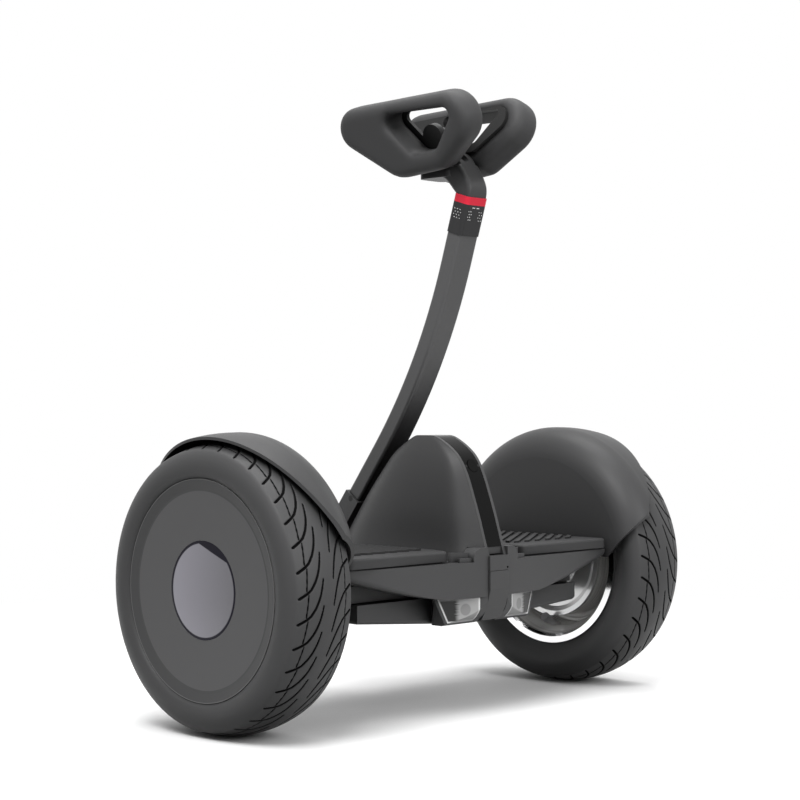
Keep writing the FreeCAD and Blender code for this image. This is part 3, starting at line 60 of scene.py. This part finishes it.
# Where a finish, a painted shade or a painted highlight changes on the wheels: two radii about the axle, in
# metres
COVER_SLOPE = (0.0880, 0.0884)
COVER_PAINTED_HIGHLIGHT = (0.0984, 0.0987)
CAP_OUTLINE = (0.0413, 0.0420)
RIM_BARREL = (0.0800, 0.0790)

# The hub cap's painted dark reflection, a segment: its direction (forward, up), and where it begins along
# it; and between which places forward of the axle the painted sheen changes the cap's grey
PAINTED_REFLECTION_WAY = (-0.367, 0.930)
PAINTED_REFLECTION_START = (0.0362, 0.0366)
CAP_PAINTED_SHEEN = (-0.040, 0.036)
CAP_GLOSS = 0.45

# The rim: turned ridges of its barrel, as waves in radians per metre and their depth in metres, and the
# finish of its flange and its barrel
RIDGE_WAVES = 1400.0
RIDGE_DEPTH = 0.0003
RIM_FINISH = {"Roughness": (0.12, 0.27), "Metallic": (1.0, 0.25)}

# The tyre: the share of a groove's depth at which its painted groove shade is fully dark, and the gloss
# outside the grooves
GROOVE_PAINTED_SHADE = 0.3
TYRE_GLOSS = 0.26

# Lamp lens: its greys, then places outwards from the middle and above the ground, in metres
CLEAR_GREY = 0.42
SMOKE_GREY = 0.016
RIM_GREY = 0.80
TOP_RIM_SHARE = 0.35
LAMP_SHADE = 0.32
SMOKE_START = (0.0475, 0.0520)
SMOKE_STREAKS = 900.0
SMOKE_REACH = 0.006
LAMP_PLACE = (0.038, 0.1042)
LAMP_RADIUS = (0.0060, 0.0050)
LENS_FOOT = (0.0942, 0.0934)
LENS_INNER = (0.0246, 0.0238)
LENS_TOP = (0.1126, 0.1134)
LENS_END = (-0.0019, -0.0012)
LENS_END_FOOT = (0.057, 0.092)
LENS_END_SLOPE = 0.4646

# Painted shade in covered corners: the shares of open surroundings at which a surface is painted darkest
# and no longer darkened, how dark the painted shade gets, and the samples that find it
CORNER_SKY = (0.20, 0.95)
PAINTED_CORNER_SHADE = 0.25
CORNER_SAMPLES = 6

# Plastics, rubbers and castings: name, grey level, tint, roughness, gloss, grain per metre, grain depth,
# and the reach and darkness of the shade painted into covered corners
GREYS = [
    ("body_plastic", 0.066, 0.02, 0.44, 0.24, 2600, 0.00006, 0.08, PAINTED_CORNER_SHADE),
    ("head_plastic", 0.056, 0.02, 0.40, 0.24, 3200, 0.00003, 0.05, PAINTED_CORNER_SHADE),
    ("battery_plastic", 0.060, 0.02, 0.46, 0.24, 2600, 0.00005, 0.10, PAINTED_CORNER_SHADE),
    ("fender_plastic", 0.052, 0.02, 0.44, 0.24, 2600, 0.00006, 0.10, PAINTED_CORNER_SHADE),
    # The hump's grey is the body's plastic painted darker, as shade
    ("shaded_hump_plastic", 0.046, 0.02, 0.42, 0.24, 2600, 0.00005, 0.16, 0.12),
    ("stem_satin", 0.086, 0.02, 0.30, 0.40, 3200, 0.00003, 0.22, 0.04),
    ("pad_foam", 0.056, 0.02, 0.58, 0.22, 1500, 0.00012, 0.05, PAINTED_CORNER_SHADE),
    ("mat_rubber", 0.046, 0.02, 0.56, 0.22, 1800, 0.00010, 0.06, PAINTED_CORNER_SHADE),
    ("dark_casting", 0.060, 0.0, 0.50, 0.3, 900, 0.00012, 0.08, PAINTED_CORNER_SHADE)]

# Which finish each node has; pieces of both sides share one
FINISHES = {
    "tyre": "tyre_rubber", "rim": "polished_rim", "motor_cover": "motor_alloy", "wheel_bearings": "steel",
    "magnet_ring": "steel", "stators": "copper_and_iron", "axles": "steel",
    "wheel_cover": "wheel_cover_plastic", "hub_cap": "hub_cap_metallic", "valve": "steel",
    "fender": "fender_plastic", "fender_screws": "steel", "deck_shell": "body_plastic",
    "chassis": "dark_casting", "axle_clamps": "dark_casting", "clamp_bolts": "steel",
    "steering_shaft": "steel", "steering_bearings": "steel", "centring_torsion_bar": "steel",
    "lean_stops": "mat_rubber", "lean_magnet": "steel", "lean_sensor": "circuit_board",
    "stem_tube": "stem_satin", "collar": "collar_grey", "red_ring": "red_band", "head": "head_plastic",
    "knee_pad": "pad_foam", "pad_cores": "black_plastic", "steering_base": "body_plastic",
    "base_bolt": "black_plastic", "hump_shell": "shaded_hump_plastic", "display_strip": "gloss_black",
    "spine_frame": "body_plastic", "power_button": "gloss_black", "power_switch": "black_plastic",
    "tail_housing": "body_plastic", "tail_lamp_lenses": "lamp_lens", "tail_lamp_boards": "white_marks",
    "charge_flap": "body_plastic", "flap_pin": "steel", "charge_socket": "black_plastic",
    "battery_case": "battery_plastic", "battery_cells": "battery_cell", "control_board": "circuit_board",
    "foot_mat": "mat_rubber", "foot_sensors": "circuit_board", "front_housing": "body_plastic",
    "headlamp_lens": "lamp_lens",
}

# Knee pads: size of the remesh in metres, and how often it is relaxed
PAD_VOXEL = 0.0022
PAD_RELAX_STEPS = 10
PAD_RELAX_SHARE = 0.5

# Tyre, in millimetres across the wheel and out from the axle
CROWN_RADIUS = 131.0
TREAD_EDGE_RADIUS = 125.0
TREAD_HALF = 31.0
STEPS_ACROSS = 100
INNER_SIDE = [
    (-26.6, 84.0), (-26.6, 89.0), (-33.6, 99.5), (-36.2, 103.5), (-37.4, 109.0), (-36.9, 114.5),
    (-35.2, 119.5), (-33.4, 122.3), (-32.3, 123.9)]
OUTER_SEAT = [(29.8, 99.5), (29.8, 89.2), (26.6, 89.2), (26.6, 84.0)]
AIR_SIDE = [(21.6, 84.0), (30.4, 109.0), (24.0, 121.0), (-24.0, 121.0), (-30.4, 109.0), (-21.6, 84.0)]

# Tread: pitches round the tyre, and the strokes of one pitch, each two places (across from the middle,
# along in pitches) and half its width
PITCHES = 36
STEPS_PER_PITCH = 32
PITCH = 2 * math.pi * CROWN_RADIUS / PITCHES
GROOVE_DEPTH = 1.6
HALF_HOOK = 0.75
HALF_PITCH = 0.5
TREAD_STROKES = [
    ((22.0, 0.00), (18.4, 0.13), 0.75), ((18.4, 0.13), (14.2, 0.40), 0.80),
    ((14.2, 0.40), (11.3, 0.66), 0.80), ((11.3, 0.66), (9.2, 0.90), 0.75),
    ((9.2, 0.90), (7.3, 1.20), 0.70), ((7.3, 1.20), (5.8, 1.50), 0.55),
    ((29.6, -0.20), (22.0, 0.00), 0.85), ((21.0, -0.06), (22.8, -0.92), 0.32)]
STROKE_EDGE = (-0.30, 0.35)
NEIGHBOURS = (-3, -2, -1, 0, 1, 2)

# Plain even rows of dashes on the collar's rear face, in millimetres: across, down from the red band,
# length and height
DASH_ROWS = [(row, 6.4 + 2.7 * row) for row in range(4)]
DASHES = [(-3.6, 2.6, 3.6, 0.9), (2.2, 2.6, 3.6, 0.9)] + [
    (across + 1.3 * (row % 2), down, 1.1, 0.8)
    for across in (-9.3, -6.6, 5.2, 8.0) for row, down in DASH_ROWS]

# The same on the collar's left face, across from its middle towards the rear
SIDE_DASHES = [
    (across + 1.4 * (row % 2), down, 1.1, 0.7) for across in (-4.2, -0.7, 2.8) for row, down in DASH_ROWS]
DASH_LIFT = 0.00012

# Floor: half its side, the radii between which it fades to white, the glowing lift of its grey, which falls
# away near the object and so paints a contact shadow on top of the real one, the reach, open shares and
# samples of that painted shadow, and its greys for the camera and for light
FLOOR_HALF = 8.0
FLOOR_FADE = (0.45, 1.1)
FLOOR_LIFT = 0.26
CONTACT_REACH = 0.18
CONTACT_SKY = (0.22, 0.78)
CONTACT_SAMPLES = 8
FLOOR_GREY = 0.80
FLOOR_DULL_GREY = 0.15

# Soft sky that lights the object: its levels by height
SKY_HEIGHTS = (-0.1, 0.9)
SKY_LEVELS = (0.08, 0.74)

# Lamps: name, place, target, size and power
LAMPS = [
    ("key", (-1.2, -0.6, 1.9), (0, 0, 0.25), (1.0, 1.0), 34),
    ("top", (0.3, 0.2, 2.2), (0, 0, 0.3), (1.2, 1.2), 22),
    ("fill", (-0.1, -1.9, 1.1), (0, 0, 0.25), (1.0, 1.0), 17)]

# Camera: place and direction in metres, lens and sensor in millimetres
CAMERA_PLACE = (-1.3389, -1.2941, 0.2996)
CAMERA_WAY = (0.7145, 0.6997, 0.0)
CAMERA_LENS = 85
CAMERA_SENSOR = 36


# Materials

def grey(level, tint=0.0):
    return (level, level, level * (1 + tint))


class Shader:
    """A material's node tree, with short calls for the nodes it needs."""

    def __init__(self, name, colour, rough, metal=0.0, coat=0.0, coat_rough=0.1, specular=0.5):
        self.name = name
        self.material = bpy.data.materials.new(name)
        self.material.use_nodes = True
        self.tree = self.material.node_tree
        self.surface = self.tree.nodes["Principled BSDF"]
        self.set("Base Color", (*colour, 1))
        self.set("Roughness", rough)
        self.set("Metallic", metal)
        self.set("Coat Weight", coat)
        self.set("Coat Roughness", coat_rough)
        self.set("Specular IOR Level", specular)

    def set(self, socket, value):
        self.surface.inputs[socket].default_value = value

    def node(self, kind, **values):
        made = self.tree.nodes.new(kind)
        for key, value in values.items():
            setattr(made, key, value)
        return made

    def link(self, out, into):
        self.tree.links.new(out, into)

    def feed(self, socket, value):
        """Links a socket to another node's output, or gives it a number or a colour."""
        if isinstance(value, bpy.types.NodeSocket):
            self.link(value, socket)
        else:
            socket.default_value = value if isinstance(value, (int, float)) else (*value, 1)

    def math(self, how, *values):
        made = self.node("ShaderNodeMath", operation=how)
        for socket, value in zip(made.inputs, values):
            self.feed(socket, value)
        return made.outputs[0]

    def length(self, a, b):
        return self.math("SQRT", self.math("ADD", self.math("MULTIPLY", a, a), self.math("MULTIPLY", b, b)))

    def ramp(self, value, low, high):
        made = self.node("ShaderNodeMapRange")
        self.link(value, made.inputs["Value"])
        made.inputs["From Min"].default_value = low
        made.inputs["From Max"].default_value = high
        return made.outputs["Result"]

    def mix(self, kind, factor, first, second):
        """A number or colour between two others, each a constant or another node's output."""
        made = self.node("ShaderNodeMix", data_type=kind)
        self.link(factor, made.inputs["Factor"])
        self.feed(made.inputs["A"], first)
        self.feed(made.inputs["B"], second)
        return made.outputs["Result"]

    def mix_level(self, factor, first, second):
        return self.mix("FLOAT", factor, first, second)

    def mix_colour(self, factor, first, second):
        """Base colour between two others."""
        colour = self.mix("RGBA", factor, first, second)
        self.link(colour, self.surface.inputs["Base Color"])
        return colour

    def fade_gloss(self, factor, level):
        """Specular level that falls to nothing as the factor rises to one."""
        self.link(self.math("MULTIPLY_ADD", factor, -level, level),
                  self.surface.inputs["Specular IOR Level"])

    def ambient(self, distance, samples, low, high):
        """How open the surroundings of a place are, from zero to one."""
        near = self.node("ShaderNodeAmbientOcclusion", samples=samples)
        near.inputs["Distance"].default_value = distance
        return self.ramp(near.outputs["AO"], low, high)

    def place(self):
        """Coordinates of the surface in metres, at rest, together and one by one."""
        coordinate = self.node("ShaderNodeTexCoord")
        parts = self.node("ShaderNodeSeparateXYZ")
        self.link(coordinate.outputs["Object"], parts.inputs[0])
        return coordinate.outputs["Object"], parts.outputs

    def wheel_place(self):
        """Coordinates across and along the wheel, height above the axle and radius about it."""
        _, parts = self.place()
        high = self.math("SUBTRACT", parts[2], AXLE_HEIGHT)
        return parts[0], parts[1], high, self.length(parts[1], high)

    def grain(self, scale, distance):
        where, _ = self.place()
        noise = self.node("ShaderNodeTexNoise")
        noise.inputs["Scale"].default_value = scale
        noise.inputs["Detail"].default_value = 2.0
        self.link(where, noise.inputs["Vector"])
        self.bump(noise.outputs["Fac"], distance)
        return self

    def bump(self, height, distance):
        bump = self.node("ShaderNodeBump")
        bump.inputs["Distance"].default_value = distance
        self.link(height, bump.inputs["Height"])
        self.link(bump.outputs["Normal"], self.surface.inputs["Normal"])

    def paint_corner_shade(self, distance, dark=PAINTED_CORNER_SHADE):
        """Paints shade into the base colour: corners and the faces that others cover are painted darker."""
        base = self.surface.inputs["Base Color"]
        plain = base.default_value[:3]
        painted = base.links[0].from_socket if base.links else plain
        # Painted shade: where the surroundings close in, the colour falls towards a dark share of itself
        shade = self.ambient(distance, CORNER_SAMPLES, *CORNER_SKY)
        self.mix_colour(shade, [dark * c for c in plain], painted)
        return self


def grey_shader(name, level, tint, rough, specular, scale, depth, reach, dark):
    made = Shader(name, grey(level, tint), rough, specular=specular)
    return made.grain(scale, depth).paint_corner_shade(reach, dark)


def tyre_shader():
    """Rubber with painted shade in the grooves of the tread, where its colour darkens and its gloss fades.
    """
    rubber = grey(0.057, 0.02)
    made = Shader("tyre_rubber", rubber, 0.50)
    groove = made.node("ShaderNodeAttribute", attribute_name="groove")
    groove_shade = made.ramp(groove.outputs["Fac"], 0.0, GROOVE_PAINTED_SHADE)
    # Painted shade: the grooves turn near black
    made.mix_colour(groove_shade, rubber, grey(0.001))
    made.fade_gloss(groove_shade, TYRE_GLOSS)
    return made.grain(1800, 0.00008).paint_corner_shade(0.06)


def cap_shader():
    """Metallic lens with a dark outline, a painted dark reflection as a segment towards its upper rear, and
    a painted sheen, lighter forward and darker to the rear.
    """
    made = Shader("hub_cap_metallic", (0.2, 0.2, 0.2), 0.30, metal=0.45, coat=0.25, coat_rough=0.05)
    _, along, high, radius = made.wheel_place()
    across = made.math("ADD", made.math("MULTIPLY", along, PAINTED_REFLECTION_WAY[0]),
                       made.math("MULTIPLY", high, PAINTED_REFLECTION_WAY[1]))
    # The dark outline and the painted dark reflection of the segment
    dark = made.math("MAXIMUM", made.ramp(across, *PAINTED_REFLECTION_START), made.ramp(radius, *CAP_OUTLINE))
    # Painted sheen: the cap's grey lighter forward and darker to the rear
    lit = made.mix_colour(made.ramp(along, *CAP_PAINTED_SHEEN), (0.150, 0.147, 0.162), (0.262, 0.255, 0.292))
    made.mix_colour(dark, lit, (0.007, 0.006, 0.013))
    made.fade_gloss(dark, CAP_GLOSS)
    return made


def cover_shader():
    """Satin disc with a sloping rim painted darker as shade and a painted highlight along the edge where it
    meets the tyre.
    """
    disc = grey(0.100, 0.02)
    made = Shader("wheel_cover_plastic", disc, 0.38, specular=0.24)
    radius = made.wheel_place()[3]
    # Painted shade on the sloping rim, then a painted highlight at its outer edge
    shaded_slope = made.mix_colour(made.ramp(radius, *COVER_SLOPE), disc, grey(0.059, 0.02))
    made.mix_colour(made.ramp(radius, *COVER_PAINTED_HIGHLIGHT), shaded_slope, grey(0.150))
    return made.grain(2600, 0.00004)


def rim_shader():
    """Polished alloy with the fine turned ridges of the barrel, which the flange lacks."""
    made = Shader("polished_rim", (0.74, 0.74, 0.75), 0.16, metal=1.0)
    across, _, _, radius = made.wheel_place()
    inside = made.ramp(radius, *RIM_BARREL)
    turned = made.math("MULTIPLY", made.math("ADD", made.math("ABSOLUTE", across), radius), RIDGE_WAVES)
    made.bump(made.math("MULTIPLY", made.math("SINE", turned), inside), RIDGE_DEPTH)
    for socket, (flange, barrel) in RIM_FINISH.items():
        made.link(made.mix_level(inside, flange, barrel), made.surface.inputs[socket])
    made.mix_colour(inside, (0.80, 0.80, 0.80), (0.80, 0.795, 0.78))
    return made


def lens_shader():
    """Lens that is clear round the lamp, smoked towards its outer end and bright along its rims."""
    made = Shader("lamp_lens", grey(0.30), 0.16, specular=0.35)
    _, parts = made.place()
    outward = made.math("ABSOLUTE", parts[0])
    high = parts[2]
    streaks = made.node("ShaderNodeTexNoise", noise_dimensions="1D")
    streaks.inputs["Scale"].default_value = SMOKE_STREAKS
    made.link(high, streaks.inputs["W"])
    reach = made.math("ADD", outward, made.math("MULTIPLY", streaks.outputs["Fac"], SMOKE_REACH))
    clear = made.mix_level(made.ramp(reach, *SMOKE_START), CLEAR_GREY, SMOKE_GREY)
    from_lamp = made.length(made.math("SUBTRACT", outward, LAMP_PLACE[0]),
                            made.math("SUBTRACT", high, LAMP_PLACE[1]))
    spot = made.ramp(from_lamp, *LAMP_RADIUS)
    level = made.math("MULTIPLY", clear, made.math("MULTIPLY_ADD", spot, -LAMP_SHADE, 1.0))
    end = made.math("MULTIPLY_ADD", made.math("SUBTRACT", high, LENS_END_FOOT[1]), LENS_END_SLOPE,
                    LENS_END_FOOT[0])
    rims = made.ramp(high, *LENS_FOOT)
    for rim in (made.ramp(outward, *LENS_INNER), made.ramp(made.math("SUBTRACT", outward, end), *LENS_END),
                made.math("MULTIPLY", made.ramp(high, *LENS_TOP), TOP_RIM_SHARE)):
        rims = made.math("MAXIMUM", rims, rim)
    level = made.mix_level(rims, level, RIM_GREY)
    grey_level = made.node("ShaderNodeCombineColor")
    for socket in grey_level.inputs[:3]:
        made.link(level, socket)
    made.link(grey_level.outputs[0], made.surface.inputs["Base Color"])
    return made


shaders = [grey_shader(*row) for row in GREYS] + [
    tyre_shader(), rim_shader(), cap_shader(), cover_shader(), lens_shader(),
    Shader("gloss_black", grey(0.006), 0.14, specular=0.06),
    Shader("black_plastic", grey(0.010), 0.48, specular=0.30).grain(2600, 0.00005),
    Shader("motor_alloy", (0.80, 0.80, 0.80), 0.24, metal=0.6),
    Shader("steel", (0.52, 0.52, 0.53), 0.30, metal=1.0),
    Shader("red_band", (0.86, 0.028, 0.062), 0.40, specular=0.3),
    Shader("collar_grey", grey(0.030, 0.03), 0.45, specular=0.22).grain(2600, 0.00004),
    Shader("white_marks", (0.82, 0.82, 0.82), 0.5),
    Shader("circuit_board", (0.02, 0.09, 0.045), 0.4),
    Shader("copper_and_iron", (0.30, 0.16, 0.09), 0.45, metal=0.6),
    Shader("battery_cell", (0.25, 0.27, 0.30), 0.35, metal=0.6)]
materials = {made.name: made.material for made in shaders}


def base_name(name):
    for side in ("_left", "_right"):
        if name.endswith(side):
            return name[: -len(side)]
    return name


def dress_nodes():
    for name, piece in nodes.items():
        for entry in piece.material_slots:
            entry.material = materials[FINISHES[base_name(name)]]


# Meshes

def new_object(name, data):
    made = bpy.data.objects.new(name, data)
    scene.collection.objects.link(made)
    return made


def new_piece(name, vertices, faces, finish, body, smooth=True):
    mesh = bpy.data.meshes.new(name)
    mesh.from_pydata(vertices, [], faces)
    mesh.validate()
    mesh.materials.append(materials[finish])
    if smooth:
        mesh.polygons.foreach_set("use_smooth", [True] * len(mesh.polygons))
    piece = new_object(name, mesh)
    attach(piece, body)
    return piece


def smoothstep(low, high, value):
    t = min(max((value - low) / (high - low), 0.0), 1.0)
    return t * t * (3 - 2 * t)


# Knee pads

def knee_pad(side):
    """Moulded foam pad: the solid's ring, remeshed and relaxed."""
    node = "knee_pad_" + side
    piece = new_object("padded_" + node, nodes[node].data.copy())
    remesh = piece.modifiers.new("remesh", "REMESH")
    remesh.mode = "VOXEL"
    remesh.voxel_size = PAD_VOXEL
    remesh.use_smooth_shade = True
    relax = piece.modifiers.new("relax", "SMOOTH")
    relax.factor = PAD_RELAX_SHARE
    relax.iterations = PAD_RELAX_STEPS
    depsgraph = bpy.context.evaluated_depsgraph_get()
    mesh = bpy.data.meshes.new_from_object(piece.evaluated_get(depsgraph))
    piece.modifiers.clear()
    piece.data = mesh
    mesh.materials.clear()
    mesh.materials.append(materials["pad_foam"])
    mesh.polygons.foreach_set("use_smooth", [True] * len(mesh.polygons))
    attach(piece, "steering")
    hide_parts(node)


# Tyres with their tread

def stroke(x, along, a, b, width):
    """One on a stroke, falling to zero past its half width; sizes in millimetres."""
    ax, av, bx, bv = a[0], a[1] * PITCH, b[0], b[1] * PITCH
    dx, dv = bx - ax, bv - av
    v = along * PITCH
    t = min(max(((x - ax) * dx + (v - av) * dv) / (dx * dx + dv * dv), 0.0), 1.0)
    distance = math.hypot(x - ax - t * dx, v - av - t * dv)
    return 1.0 - smoothstep(width + STROKE_EDGE[0], width + STROKE_EDGE[1], distance)


def groove(x, turn):
    """How deep the tread lies at a place, as a share; the inner half is the outer turned end for end."""
    along = HALF_HOOK - turn if x > 0 else turn - HALF_PITCH + HALF_HOOK
    return max(stroke(abs(x), along + shift, a, b, width) for shift in NEIGHBOURS
               for a, b, width in TREAD_STROKES)


def tread_line():
    """The crowned tread from shoulder to shoulder, as places across and radii."""
    drop = CROWN_RADIUS - TREAD_EDGE_RADIUS
    radius = (TREAD_HALF ** 2 + drop ** 2) / (2 * drop)
    line = []
    for i in range(STEPS_ACROSS + 1):
        x = -TREAD_HALF + 2 * TREAD_HALF * i / STEPS_ACROSS
        line.append((x, CROWN_RADIUS - radius + math.sqrt(radius ** 2 - x * x)))
    return line


def tyre(side):
    """Tyre with its moulded tread, turned round the axle."""
    sign = 1 if side == "right" else -1
    tread = tread_line()
    outer_side = [(-x, r) for x, r in reversed(INNER_SIDE)][:-2]
    ring = INNER_SIDE + tread + outer_side + OUTER_SEAT + AIR_SIDE
    first = len(INNER_SIDE)
    pattern = []
    for k in range(STEPS_PER_PITCH):
        row = [0.0] * len(ring)
        for i, (x, _) in enumerate(tread):
            row[first + i] = groove(x, k / STEPS_PER_PITCH)
        pattern.append(row)
    steps = PITCHES * STEPS_PER_PITCH
    count = len(ring)
    vertices = []
    depths = []
    for k in range(steps):
        angle = 2 * math.pi * k / steps
        c, s = math.cos(angle), math.sin(angle)
        row = pattern[k % STEPS_PER_PITCH]
        for (x, r), share in zip(ring, row):
            r -= GROOVE_DEPTH * share
            vertices.append((sign * (WHEEL_MIDDLE + x / 1000), -s * r / 1000, AXLE_HEIGHT + c * r / 1000))
        depths += row
    faces = []
    for k in range(steps):
        a, b = k * count, (k + 1) % steps * count
        for i in range(count):
            j = (i + 1) % count
            quad = (a + i, a + j, b + j, b + i)
            faces.append(quad if sign > 0 else quad[::-1])
    piece = new_piece("treaded_tyre_" + side, vertices, faces, "tyre_rubber", side + "_wheel")
    piece.data.attributes.new("groove", "FLOAT", "POINT").data.foreach_set("value", depths)
    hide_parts("tyre_" + side)


# Marks on the collar

def collar_marks():
    """Small raised dashes, each a shallow box on the collar's rear or left face."""
    up = Vector((0.0, -math.sin(STEM_LEAN), math.cos(STEM_LEAN)))
    back = Vector((0.0, -math.cos(STEM_LEAN), -math.sin(STEM_LEAN)))
    right = Vector((1.0, 0.0, 0.0))
    middle = STEM_TOP - up * RING_HEIGHT
    vertices = []
    faces = []
    for marks, start, along, out in ((DASHES, middle + back * COLLAR_REAR, right, back),
                                     (SIDE_DASHES, middle - right * COLLAR_LEFT, back, -right)):
        for across, down, length, height in marks:
            place = start + along * (across / 1000) - up * (down / 1000)
            base = len(vertices)
            for lift in (0.0, DASH_LIFT):
                for u, v in ((-1, -1), (1, -1), (1, 1), (-1, 1)):
                    vertices.append(tuple(place + along * (u * length / 2000) + up * (v * height / 2000)
                                          + out * lift))
            faces += [tuple(base + i for i in f) for f in (
                (0, 3, 2, 1), (4, 5, 6, 7), (0, 1, 5, 4), (1, 2, 6, 5), (2, 3, 7, 6), (3, 0, 4, 7))]
    new_piece("collar_marks", vertices, faces, "white_marks", "steering", smooth=False)


# Stage, lights and camera

def floor():
    """White ground: it takes the object's shadow, has a painted contact shadow under the object, and fades
    into the white background.
    """
    side = FLOOR_HALF
    mesh = bpy.data.meshes.new("floor")
    mesh.from_pydata([(-side, -side, 0), (side, -side, 0), (side, side, 0), (-side, side, 0)], [],
                     [(0, 1, 2, 3)])
    ground = Shader("floor_white", grey(FLOOR_GREY), 0.9, specular=0.0)
    path = ground.node("ShaderNodeLightPath").outputs
    seen = ground.math("MAXIMUM", path["Is Camera Ray"],
                       ground.math("MAXIMUM", path["Is Glossy Ray"], path["Is Transmission Ray"]))
    _, parts = ground.place()
    far = ground.ramp(ground.length(parts[0], parts[1]), *FLOOR_FADE)
    white = ground.node("ShaderNodeEmission")
    lift = ground.node("ShaderNodeEmission")
    # Painted contact shadow: the glowing lift falls away where the surroundings close in
    open_share = ground.ambient(CONTACT_REACH, CONTACT_SAMPLES, *CONTACT_SKY)
    ground.link(ground.math("MULTIPLY", open_share, FLOOR_LIFT), lift.inputs["Strength"])
    lit = ground.node("ShaderNodeAddShader")
    ground.link(ground.surface.outputs[0], lit.inputs[0])
    ground.link(lift.outputs[0], lit.inputs[1])
    dull = ground.node("ShaderNodeBsdfDiffuse")
    dull.inputs["Color"].default_value = (*grey(FLOOR_DULL_GREY), 1)
    fade = ground.node("ShaderNodeMixShader")
    choose = ground.node("ShaderNodeMixShader")
    for mix, factor, first, second in ((fade, far, lit, white), (choose, seen, dull, fade)):
        ground.link(factor, mix.inputs["Fac"])
        ground.link(first.outputs[0], mix.inputs[1])
        ground.link(second.outputs[0], mix.inputs[2])
    ground.link(choose.outputs[0], ground.tree.nodes["Material Output"].inputs["Surface"])
    mesh.materials.append(ground.material)
    piece = new_object("floor", mesh)


def world():
    """White background, and for the light on the object a soft sky that is brightest overhead."""
    made = bpy.data.worlds.new("studio")
    scene.world = made
    made.use_nodes = True
    tree = made.node_tree
    background = tree.nodes["Background"]
    path = tree.nodes.new("ShaderNodeLightPath")
    seen = path.outputs["Is Camera Ray"]
    for kind in ("Is Glossy Ray", "Is Transmission Ray"):
        more = tree.nodes.new("ShaderNodeMath")
        more.operation = "MAXIMUM"
        tree.links.new(seen, more.inputs[0])
        tree.links.new(path.outputs[kind], more.inputs[1])
        seen = more.outputs[0]
    where = tree.nodes.new("ShaderNodeTexCoord")
    parts = tree.nodes.new("ShaderNodeSeparateXYZ")
    tree.links.new(where.outputs["Generated"], parts.inputs[0])
    sky = tree.nodes.new("ShaderNodeMapRange")
    tree.links.new(parts.outputs["Z"], sky.inputs["Value"])
    for name, value in zip(("From Min", "From Max", "To Min", "To Max"), SKY_HEIGHTS + SKY_LEVELS):
        sky.inputs[name].default_value = value
    strength = tree.nodes.new("ShaderNodeMix")
    strength.data_type = "FLOAT"
    tree.links.new(seen, strength.inputs["Factor"])
    tree.links.new(sky.outputs["Result"], strength.inputs["A"])
    strength.inputs["B"].default_value = 1.0
    background.inputs["Color"].default_value = (1, 1, 1, 1)
    tree.links.new(strength.outputs["Result"], background.inputs["Strength"])


def area_light(name, place, target, size, power):
    lamp = bpy.data.lights.new(name, "AREA")
    lamp.shape = "RECTANGLE"
    lamp.size, lamp.size_y = size
    lamp.energy = power
    holder = new_object(name, lamp)
    holder.location = place
    holder.rotation_euler = (Vector(target) - Vector(place)).to_track_quat("-Z", "Y").to_euler()


def camera():
    view = bpy.data.cameras.new("camera")
    view.lens = CAMERA_LENS
    view.sensor_width = CAMERA_SENSOR
    holder = new_object("camera", view)
    holder.location = CAMERA_PLACE
    holder.rotation_euler = Vector(CAMERA_WAY).to_track_quat("-Z", "Y").to_euler()
    scene.camera = holder


dress_nodes()
for side in ("left", "right"):
    knee_pad(side)
    tyre(side)
collar_marks()
floor()
world()
for lamp in LAMPS:
    area_light(*lamp)
camera()
